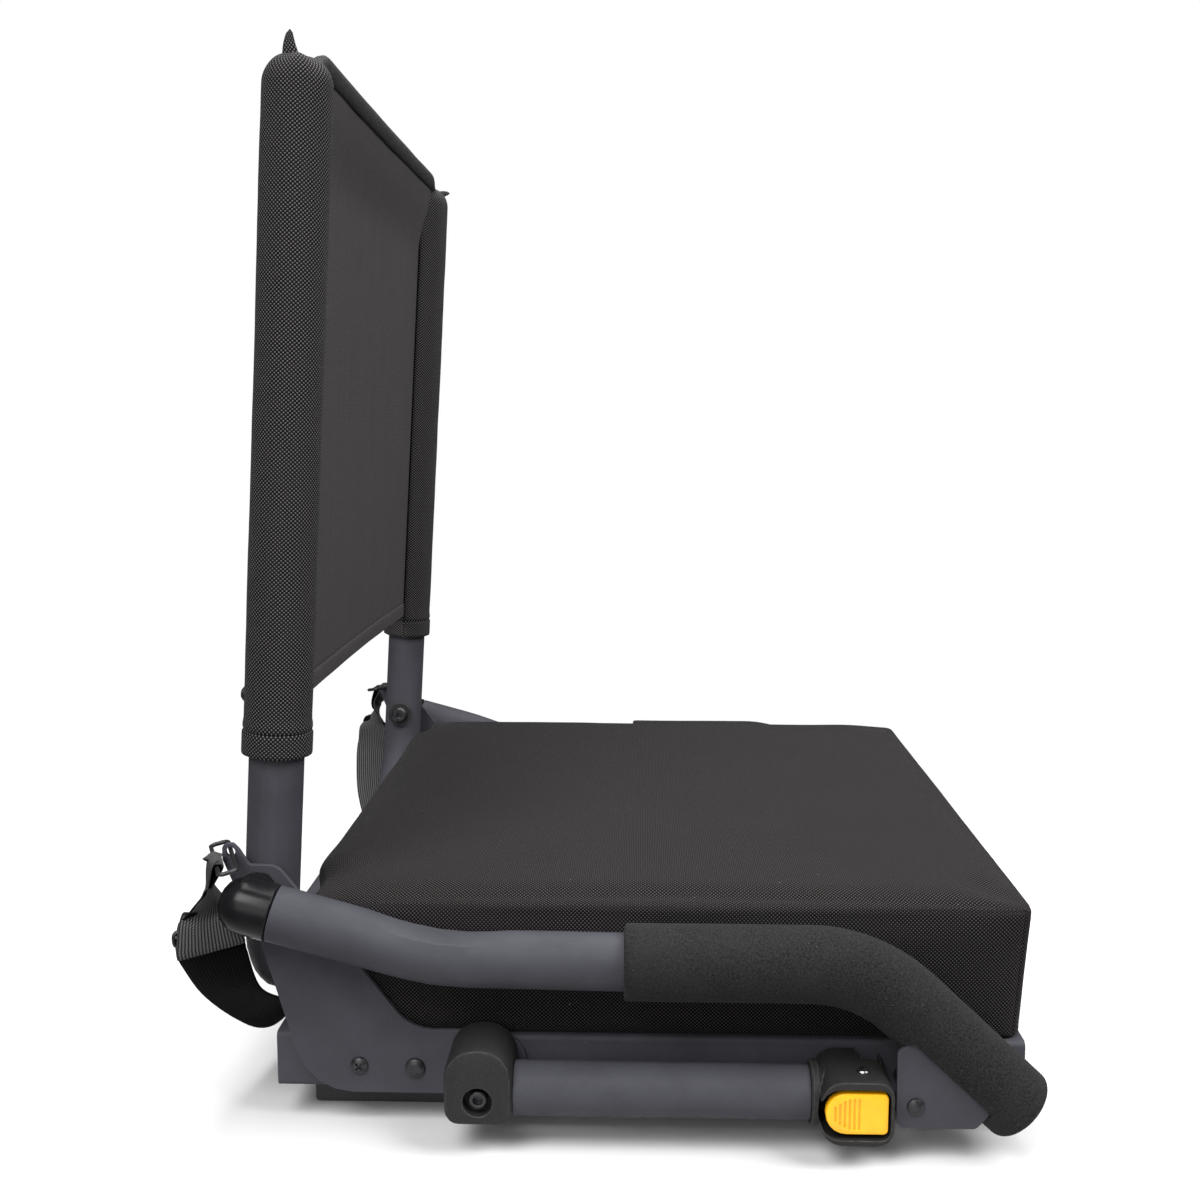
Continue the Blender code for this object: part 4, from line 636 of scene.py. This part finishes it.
def seat_cushion():
    """Boxed cushion, blown up between its sewn edges by a short cloth simulation."""
    low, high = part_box("seat_cushion")
    x0, x1 = low.x + 0.0010, high.x - 0.0010
    y0, y1 = low.y + 0.0032, high.y - 0.0008
    z0, z1 = low.z, low.z + CUSHION_TALL
    xs, ys, zs = spread(x1 - x0, NEAR_SIDE), spread(y1 - y0, NEAR_SIDE), spread(z1 - z0, NEAR_TOP)
    half_x, half_y = (x1 - x0) / 2, (y1 - y0) / 2
    centre = Vector(((x0 + x1) / 2, (y0 + y1) / 2, 0))
    nx, ny, nz = len(xs) - 1, len(ys) - 1, len(zs) - 1
    verts, index, pin, seam = [], {}, [], []

    def point(i, j, k):
        if (i, j, k) in index:
            return index[i, j, k]
        bx, by, bz = xs[i] - half_x, ys[j] - half_y, zs[k]
        dx, dy = max(abs(bx) - half_x + CORNER_R, 0), max(abs(by) - half_y + CORNER_R, 0)
        spot = Vector((bx, by))
        if dx > 0 and dy > 0:
            away = Vector((dx * (1 if bx > 0 else -1), dy * (1 if by > 0 else -1)))
            reach = max(dx, dy)
            out = away.normalized()
            inset = CORNER_R - reach
            spot = spot - away + out * reach
        elif half_x - abs(bx) < half_y - abs(by):
            out, inset = Vector((1 if bx > 0 else -1, 0)), half_x - abs(bx)
        else:
            out, inset = Vector((0, 1 if by > 0 else -1)), half_y - abs(by)
        depth = zs[-1] - bz
        roll = REAR_EDGE_R if out.y > 0.5 else EDGE_R
        if inset < roll and depth < roll:
            moved, depth = round_off(inset, depth, roll)
            spot -= out * (moved - inset)
            inset = moved
        if inset < LOW_EDGE_R and bz < LOW_EDGE_R:
            moved, up = round_off(inset, bz, LOW_EDGE_R)
            spot -= out * (moved - inset)
            inset, depth = moved, zs[-1] - up
        z = z0 + zs[-1] - depth
        if k == 0 and inset > POCKET_IN:
            z += POCKET_UP
        upright = dx > 0 and dy > 0 and abs(dx - dy) < 0.0014 and inset < 0.001
        index[i, j, k] = len(verts)
        if i in (0, nx) and j == SEAM_AT and 1 < k < nz - 2:
            seam.append((len(verts), out.x, out.y))
        verts.append(Vector((spot.x, spot.y, z)) + centre)
        pin.append(1.0 if k <= 1 or upright else 0.0)
        return index[i, j, k]

    faces, flat = [], []

    def face(corners, uv):
        faces.append([point(*c) for c in corners])
        flat.append([uv(*c) for c in corners])

    for i in range(nx):
        for j in range(ny):
            ring = [(i, j), (i + 1, j), (i + 1, j + 1), (i, j + 1)]
            face([(*c, nz) for c in ring], lambda a, b, _: (xs[a], ys[b]))
            face([(*c, 0) for c in reversed(ring)], lambda a, b, _: (xs[a], ys[b]))
    for k in range(nz):
        for i in range(nx):
            for j, turn in ((0, 1), (ny, -1)):
                ring = [(i, j, k), (i + 1, j, k), (i + 1, j, k + 1), (i, j, k + 1)][::turn]
                face(ring, lambda a, _, c: (xs[a], zs[c]))
        for j in range(ny):
            for i, turn in ((0, -1), (nx, 1)):
                ring = [(i, j, k), (i, j + 1, k), (i, j + 1, k + 1), (i, j, k + 1)][::turn]
                face(ring, lambda _, b, c: (ys[b], zs[c]))
    pad = piece("cushion_pad", verts, faces, None, "cushion_cloth", "base", "seat_cushion")
    layer = pad.data.uv_layers.new(name="UVMap")
    for face_made, spots in zip(pad.data.polygons, flat):
        for loop, uv in zip(face_made.loop_indices, spots):
            layer.data[loop].uv = uv
    rest = np.array([tuple(v) for v in verts])
    blown = inflate(pad, pin)
    settle(pad, rest, blown, (x1, y0, y1, z0, z1), seam)
    step = pad.modifiers.new("smooth", "SUBSURF")
    step.levels = step.render_levels = 1
    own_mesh(pad)


def inflate(pad, pin):
    """Runs the cloth simulation and returns where the points end up."""
    group = pad.vertex_groups.new(name="sewn")
    for n, weight in enumerate(pin):
        if weight:
            group.add([n], weight, "REPLACE")
    cloth = pad.modifiers.new("blow", "CLOTH")
    rules = cloth.settings
    rules.quality = 6
    rules.mass = 0.3
    rules.tension_stiffness = rules.compression_stiffness = 25
    rules.shear_stiffness = 8
    rules.bending_stiffness = 2.0
    rules.use_pressure = True
    rules.uniform_pressure_force = 4
    rules.vertex_group_mass = "sewn"
    rules.effector_weights.gravity = 0
    cloth.collision_settings.use_collision = False
    cloth.point_cache.frame_start, cloth.point_cache.frame_end = 1, BLOW_STEPS
    scene = bpy.context.scene
    for number in range(1, BLOW_STEPS + 1):
        scene.frame_set(number)
    shown = pad.evaluated_get(bpy.context.evaluated_depsgraph_get())
    out = np.zeros(len(pad.data.vertices) * 3, np.float32)
    shown.data.vertices.foreach_get("co", out)
    pad.modifiers.remove(cloth)
    pad.vertex_groups.remove(group)
    scene.frame_set(1)
    return out.reshape(-1, 3).astype(float)


def settle(pad, rest, blown, box, seam):
    """Caps how far the points have moved and adds dents, the front's slope and its corner seams."""
    x1, y0, y1, z0, z1 = box
    move = blown - rest
    move[:, 0] = np.clip(move[:, 0], -0.0014, 0.0014)
    move[:, 1] = np.clip(move[:, 1], -0.0032, 0.0006)
    move[:, 2] = np.clip(move[:, 2], -0.0010, 0.0046)
    move[rest[:, 2] < z0 + 0.0015] = 0
    done = rest + move
    for n, out_x, out_y in seam:
        done[n] -= (0.0013 * out_x, 0.0013 * out_y, 0)
    for n, (x, y, z) in enumerate(done):
        front = ease((y0 + 0.060 - y) / 0.060)
        done[n, 1] += front * FRONT_TAPER * (0.55 - (z - z0) / (z1 - z0))
        rear = ease((y - y1 + 0.045) / 0.045)
        free = (1 - ease((abs(x) - 0.170) / 0.032)) * ease((z - z0 - 0.040) / 0.030)
        done[n, 1] += REAR_BULGE * rear * free
        done[n, 2] += 0.45 * REAR_BULGE * rear * free
        if z > z1 - 0.004:
            done[n, 2] += 0.0007 * ruffle(x, y, 0.3, 9) + 0.00025 * ruffle(x, y, 0.8, 34)
        elif z > z0 + 0.006:
            inside = 0.00025 * (ruffle(x, y, z, 22) - 0.3) + 0.00012 * ruffle(x, y, z, 60)
            if abs(x) > x1 - 0.004:
                done[n, 0] += inside * (1 if x > 0 else -1)
            elif y < y0 + 0.004:
                done[n, 1] -= inside
    pad.data.vertices.foreach_set("co", done.astype(np.float32).ravel())
    pad.data.update()


# Arm grips

RIM = (  # the grip's rear end, as (along the arm, radius)
    (0.0020, ARM_R + 0.0003),
    (0.0003, ARM_R + 0.0006),
    (0.0, FOAM_R - 0.0022),
    (0.0004, FOAM_R - 0.0009),
    (0.0012, FOAM_R - 0.0002),
)
GRIP_DOME = 0.0064  # how far the front end's closed dome stands out
SHARP_FOAM = radians(40)  # edges of the cut that stay sharp


def arm_line(s):
    """Centre line of the arm under the grip, as (point, direction)."""
    reach = ARM_BEND * tan(ARM_SLOPE / 2)
    level, bend, slope = 22, 14, 16  # steps along the arm's three stretches
    out = [(FOAM_FROM + (ARM_KNEE + reach - FOAM_FROM) * k / level, ARM_Z, 0.0) for k in range(level + 1)]
    for k in range(1, bend + 1):
        a = ARM_SLOPE * k / bend
        out.append((ARM_KNEE + reach - ARM_BEND * sin(a), ARM_Z - ARM_BEND * (1 - cos(a)), a))
    y, z, a = out[-1]
    left = ARM_RUN - reach
    for k in range(1, slope + 1):
        d = left * k / slope
        out.append((y - d * cos(a), z - d * sin(a), a))
    return [(Vector((s * ARM_X, y, z)), Vector((0, -cos(a), -sin(a)))) for y, z, a in out]


def gusset_cut(s, side):
    """The room that the gusset plate takes in the grip, as a closed tool mesh."""
    low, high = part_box(side + "_gusset")
    plate = NODES[side + "_gusset"]
    face = high.x if s < 0 else low.x
    inner = [v.co for v in plate.data.vertices if abs(v.co.x - face) < 1e-5]
    ring = sorted({(round(p.y, 6), round(p.z, 6)) for p in inner})
    middle = Vector((sum(p[0] for p in ring) / len(ring), sum(p[1] for p in ring) / len(ring)))
    flat = bmesh.new()
    for y, z in ring:
        away = (Vector((y, z)) - middle).normalized() * 0.0005
        flat.verts.new((0, y + away.x, z + away.y))
    hull = bmesh.ops.convex_hull(flat, input=flat.verts)
    outline = [v for v in flat.verts if v not in hull["geom_interior"]]
    outline.sort(key=lambda v: np.arctan2(v.co.z - middle.y, v.co.y - middle.x))
    loop = [(v.co.y, v.co.z) for v in outline]
    flat.free()
    a, b = face - s * 0.0003, s * (ARM_X + FOAM_R + 0.006)
    count = len(loop)
    verts = [(a, y, z) for y, z in loop] + [(b, y, z) for y, z in loop]
    faces = [tuple(range(count)), tuple(range(2 * count - 1, count - 1, -1))]
    faces += [(k, count + k, count + (k + 1) % count, (k + 1) % count) for k in range(count)]
    mesh = bpy.data.meshes.new("gusset_room")
    mesh.from_pydata(verts, [], faces)
    shell = bmesh.new()
    shell.from_mesh(mesh)
    bmesh.ops.recalc_face_normals(shell, faces=shell.faces)
    shell.to_mesh(mesh)
    shell.free()
    tool = bpy.data.objects.new("gusset_room", mesh)
    bpy.context.scene.collection.objects.link(tool)
    return tool


def foam_grip(s, side):
    """Foam sleeve with a soft rim at the rear and a closed, rounded front end."""
    count, domes = 56, 12
    line = arm_line(s)
    start, way = line[0]
    rings = [(start + way * ahead, way, radius) for ahead, radius in RIM]
    rings += [(p, t, FOAM_R) for p, t in line[1:]]
    end, way = line[-1]
    for k in range(1, domes + 1):
        a = radians(90 * k / domes)
        rings.append((end + way * (GRIP_DOME * sin(a)), way, FOAM_R * max(cos(a), 0.0) ** 0.45))
    rows = []
    long = 0.0
    for n, (spot, way, radius) in enumerate(rings):
        if n:
            long += (spot - rings[n - 1][0]).length
        up = Vector((1, 0, 0)).cross(way)
        row = []
        for k in range(count + 1):
            a = 2 * pi * k / count
            lump = 1.0
            if radius > FOAM_R - 0.001:
                lump += 0.010 * ruffle(cos(a) * 0.8 + 3 * s, sin(a) * 0.8, long * 22, 1.0)
                lump += 0.003 * ruffle(cos(a) * 3, sin(a) * 3, long * 120, 1.0)
            p = spot + (Vector((1, 0, 0)) * cos(a) + up * sin(a)) * (radius * lump)
            row.append((p, (radius * a, long)))
        rows.append(row)
    body = Patch()
    body.rows(rows)
    grip = body.make(side + "_grip", "grip_foam", "base", side + "_foam_grip")
    weld = bmesh.new()
    weld.from_mesh(grip.data)
    bmesh.ops.remove_doubles(weld, verts=weld.verts, dist=1e-6)
    bmesh.ops.holes_fill(weld, edges=[e for e in weld.edges if e.is_boundary], sides=0)
    bmesh.ops.recalc_face_normals(weld, faces=weld.faces)
    weld.to_mesh(grip.data)
    weld.free()
    tool = gusset_cut(s, side)
    cut = grip.modifiers.new("gusset_room", "BOOLEAN")
    cut.operation, cut.solver, cut.object = "DIFFERENCE", "EXACT", tool
    bpy.context.view_layer.update()
    shown = grip.evaluated_get(bpy.context.evaluated_depsgraph_get())
    mesh = bpy.data.meshes.new_from_object(shown)
    grip.modifiers.remove(cut)
    grip.data = mesh
    bpy.data.objects.remove(tool, do_unlink=True)
    for face in mesh.polygons:
        face.use_smooth = True
    mesh.set_sharp_from_angle(angle=SHARP_FOAM)


# Carry strap

RING_X, RING_EAR = 0.2415, (0.2390 - SHIFT, 0.1640)
RING_LONG, RING_SHORT, RING_REACH, RING_WIRE = 0.0423, 0.0100, 0.0275, 0.0028
STRAP_GAP = 0.0005  # between two strap layers, and between the strap and the ring's bar
SLIDE_WIRE, SLIDE_GAP = 0.0026, 0.0014
LAYER = STRAP_T + STRAP_GAP  # between the middles of two strap layers
SLIDE_LAYER = STRAP_T + SLIDE_WIRE + SLIDE_GAP  # the same where the slide lies between them
SLIDE_LOW = 5  # the point of the run under the slide
TIP_PAST = 0.0040  # how far the tail's tip goes past that point
GATHER, GATHER_SHIFT = 0.54, 0.0036  # how the strap bunches up on the ring's bar
RIB_RISE = 0.00010
# The strap's breadth at each point of its run, as a share of its width
BREADTH = (0.56, 0.60, 0.84, 0.88, 1.04, 1.20, 1.22, 1.18, 1.10, 1.03, 1.0, 1.0)
# The run's points from the middle of the ring's bar, each with the direction of the strap's width
RUN = (
    ((0.0006, 0.0044, -0.0117), (0.945, -0.325, -0.06)),
    ((0.0004, 0.0046, -0.0180), (1.00, 0.00, -0.04)),
    ((0.0002, 0.0050, -0.0240), (0.93, 0.37, -0.05)),
    ((-0.0004, 0.0054, -0.0300), (0.69, 0.72, -0.10)),
    ((-0.0010, 0.0054, -0.0360), (0.33, 0.92, -0.21)),
    ((-0.0018, 0.0050, -0.0485), (0.33, 0.92, -0.21)),
    ((-0.0050, 0.0040, -0.0600), (0.05, 0.97, -0.25)),
    ((-0.0225, 0.0000, -0.0870), (-0.18, 0.95, -0.25)),
    ((-0.0502, -0.0093, -0.1097), (-0.10, 0.88, -0.46)),
    ((-0.0852, -0.0143, -0.1247), (-0.04, 0.62, -0.78)),
    ((-0.1352, -0.0158, -0.1307), (0.0, 0.47, -0.88)),
    ((-0.1922, -0.0163, -0.1327), (0.0, 0.42, -0.91)),
)


def right_ring():
    """The middle of the right ring's bar, and the way along it."""
    along = Vector((-0.915, -0.388, -0.110)).normalized()
    away = Vector((-0.366, 0.914, -0.183))
    away = (away - along * away.dot(along)).normalized()
    middle = Vector((-RING_X, *RING_EAR)) + along * (RING_REACH - RING_LONG / 2) + away * RING_SHORT
    return middle, along


def strap_side(run, k):
    """The way along the run at its point k, and the side of the strap on which its tail lies."""
    way = (run[k + 1][0] - run[max(k - 1, 0)][0]).normalized()
    return way, run[k][1].cross(way).normalized()


def strap_tail(run):
    """The strap's end, from its tip round the slide up to the bar, outside the first points of the run."""
    way, side = strap_side(run, SLIDE_LOW)
    tail = [(run[SLIDE_LOW][0] + way * TIP_PAST + side * (SLIDE_LAYER - SLIDE_GAP), run[SLIDE_LOW][1])]
    for k in range(SLIDE_LOW, -1, -1):
        _, side = strap_side(run, k)
        apart = SLIDE_LAYER if k > SLIDE_LOW - 2 else LAYER
        tail.append((run[k][0] + side * apart, run[k][1]))
    return tail


def strap_points():
    """The right tail, the way over the right ring and the run to the middle; then the same mirrored."""
    bar, along = right_ring()
    run = []
    for ((x, y, z), (a, b, c)), broad in zip(RUN, BREADTH):
        run.append((bar + Vector((-x, y, z)), Vector((-a, b, c)).normalized() * broad))
    up = (Vector((0, 0, 1)) - along * along.z).normalized()
    rear = along.cross(up)
    reach = RING_WIRE / 2 + STRAP_GAP + STRAP_T / 2
    over = []
    for a in range(180, -1, -45):
        spot = bar + along * GATHER_SHIFT + (up * sin(radians(a)) + rear * cos(radians(a))) * reach
        over.append((spot, along * GATHER))
    tail = strap_tail(run)
    end, wide = run[-1]
    middle = [(Vector((0, end.y - 0.0002, end.z - 0.0005)), wide)]
    half = tail + over + run
    mirror = [(Vector((-p.x, p.y, p.z)), Vector((-w.x, w.y, w.z))) for p, w in reversed(half)]
    return half + middle + mirror, len(tail)


def smooth_line(points, steps):
    """Catmull-Rom line through (point, width direction) pairs; the direction's length is the breadth."""
    out = []
    for k in range(len(points) - 1):
        a, b, c, d = (points[min(max(k + n, 0), len(points) - 1)] for n in (-1, 0, 1, 2))
        for n in range(steps):
            t = n / steps
            mixed = []
            for i in (0, 1):
                p0, p1, p2, p3 = a[i], b[i], c[i], d[i]
                mixed.append(0.5 * (
                    2 * p1 + (p2 - p0) * t + (2 * p0 - 5 * p1 + 4 * p2 - p3) * t * t
                    + (3 * p1 - p0 - 3 * p2 + p3) * t * t * t
                ))
            out.append((mixed[0], mixed[1].normalized() * (p1.length * (1 - t) + p2.length * t)))
    out.append(points[-1])
    return out


def carry_strap():
    """Ribbed webbing from ring to ring, with both ends folded back over the rings' bars."""
    steps, columns = 7, 60
    points, tail = strap_points()
    line = smooth_line(points, steps)
    rows = []
    long = 0.0
    for k, (spot, wide) in enumerate(line):
        before, after = line[max(k - 1, 0)][0], line[min(k + 1, len(line) - 1)][0]
        way = (after - before).normalized()
        if k:
            long += (spot - before).length
        across = (wide - way * wide.dot(way)).normalized()
        out = way.cross(across)
        half = STRAP_W / 2 * wide.length
        row = []
        for face in (1, -1):
            for n in range(columns + 1):
                w = (-1 + 2 * n / columns) * face
                edge = sqrt(max(0.0, 1 - abs(w) ** 14))
                rib = RIB_RISE * abs(sin(pi * w * STRAP_W / 2 / RIB_PITCH))
                thick = (STRAP_T / 2 - RIB_RISE + rib) * edge * face
                uv = (w * STRAP_W / 2 + PLAIN_SIDE * face, long)
                row.append((spot + across * (w * half) + out * thick, uv))
        row.append(row[0])
        rows.append(row)
    body = Patch()
    body.rows(rows)
    body.lid(rows[0][:-1], True)
    body.lid(rows[-1][:-1])
    strap = body.make("strap_webbing", "webbing", "base", "carry_strap")


# The model's own nodes

# Bright steel in the record, but dark in the photograph
BLACKENED = ("strap_slide", "right_knuckle_bolt", "left_knuckle_bolt")
WELD_WITHIN = 0.00001
SHARP = radians(32)  # edges that are sharper than this stay sharp


def dress_nodes():
    """Gives each model node its finish, and smooth shading that keeps its real edges."""
    for row in frame["record"]["subparts"]:
        node = NODES[row["node"]]
        node.data.materials.clear()
        slot = "black_steel" if row["node"] in BLACKENED else row["material_slot"]
        node.data.materials.append(FINISHES[slot])
        if "custom_normal" in node.data.attributes:
            node.data.attributes.remove(node.data.attributes["custom_normal"])
        for face in node.data.polygons:
            face.use_smooth = True
            face.material_index = 0
        weld = node.modifiers.new("weld", "WELD")
        weld.merge_threshold = WELD_WITHIN
        split = node.modifiers.new("edges", "EDGE_SPLIT")
        split.split_angle = SHARP
        split.use_edge_sharp = False


# Floor, light and camera

FILL = 0.15  # light from the surroundings
SOFTBOXES = (  # name, place, size and power
    ("front_softbox", (-1.0, -1.9, 2.3), 1.6, 118),
    ("top_softbox", (0.5, -0.1, 2.4), 1.7, 75),
    ("side_softbox", (-1.7, 0.8, 2.2), 1.3, 75),
    ("camera_softbox", (-2.3, 0.6, 1.0), 1.6, 22),
)
LIT_AT = Vector((0, 0, 0.25))  # where the softboxes point
FLOOR_HALF, FLOOR_UNDER = 0.7, 0.0005  # its half width, and how far it lies under the feet
FADE_FROM, FADE_TO = 0.26, 0.66  # where the floor begins and ends to fade, from the origin
CAMERA_AT = (-1.01, 0.003 - SHIFT, 0.4114)
CAMERA_YAW, CAMERA_PITCH = radians(1.84), radians(7.53)
LENS, SENSOR = 42, 36


def studio():
    """White surroundings that give little light, large softboxes and a pale floor that fades out."""
    world = bpy.data.worlds.new("studio")
    world.use_nodes = True
    nodes, links = world.node_tree.nodes, world.node_tree.links
    seen = nodes.new("ShaderNodeLightPath").outputs["Is Camera Ray"]
    level = nodes.new("ShaderNodeMapRange")
    level.inputs["To Min"].default_value, level.inputs["To Max"].default_value = FILL, 1.0
    links.new(seen, level.inputs["Value"])
    nodes["Background"].inputs[0].default_value = (1, 1, 1, 1)
    links.new(level.outputs[0], nodes["Background"].inputs[1])
    bpy.context.scene.world = world
    f = Finish("floor", 0.9, Specular_IOR_Level=0.0)
    base = f.mix(f.span(f.grain(3, 2.0), 0.3, 0.7), (0.58, 0.58, 0.58), (0.61, 0.61, 0.61))
    f.put(base)
    reach = f.node("ShaderNodeVectorMath", {0: f.where()}, operation="LENGTH").outputs["Value"]
    fade = f.span(reach, FADE_FROM, FADE_TO, smooth=True)
    clear = f.node("ShaderNodeBsdfTransparent").outputs[0]
    both = f.node("ShaderNodeMixShader", {0: fade, 1: f.shader.outputs[0], 2: clear}).outputs[0]
    f.tree.links.new(both, f.tree.nodes["Material Output"].inputs["Surface"])
    mesh = bpy.data.meshes.new("floor")
    corners = [(x * FLOOR_HALF, y * FLOOR_HALF, 0) for x, y in ((-1, -1), (1, -1), (1, 1), (-1, 1))]
    mesh.from_pydata(corners, [], [(0, 1, 2, 3)])
    mesh.materials.append(f.mat)
    floor = bpy.data.objects.new("floor", mesh)
    floor.location.z = -FLOOR_UNDER
    bpy.context.scene.collection.objects.link(floor)
    for name, at, size, power in SOFTBOXES:
        data = bpy.data.lights.new(name, "AREA")
        data.size = size
        data.energy = power
        lamp = bpy.data.objects.new(name, data)
        lamp.location = at
        lamp.rotation_mode = "QUATERNION"
        lamp.rotation_quaternion = (LIT_AT - Vector(at)).to_track_quat("-Z", "Y")
        bpy.context.scene.collection.objects.link(lamp)
    bpy.context.scene.view_settings.view_transform = "Standard"


def camera():
    """The photograph's view: from the chair's right, a little above the seat."""
    yaw, pitch = CAMERA_YAW, CAMERA_PITCH
    ahead = Vector((cos(pitch) * cos(yaw), cos(pitch) * sin(yaw), -sin(pitch)))
    right = Vector((sin(yaw), -cos(yaw), 0))
    up = right.cross(ahead)
    data = bpy.data.cameras.new("camera")
    data.sensor_width = SENSOR
    data.lens = LENS
    data.clip_start, data.clip_end = 0.01, 100
    made = bpy.data.objects.new("camera", data)
    axes = Matrix((right, up, -ahead)).transposed().to_4x4()
    made.matrix_world = Matrix.Translation(CAMERA_AT) @ axes
    bpy.context.scene.collection.objects.link(made)
    bpy.context.scene.camera = made


camera()
studio()
dress_nodes()
carry_strap()
for sign, name in SIDES:
    cloth = sleeve(sign, name)
    thicken(cloth, SLEEVE_T, -1.0)
    foam_grip(sign, name)
back_panel()
top_hem()
seat_cushion()
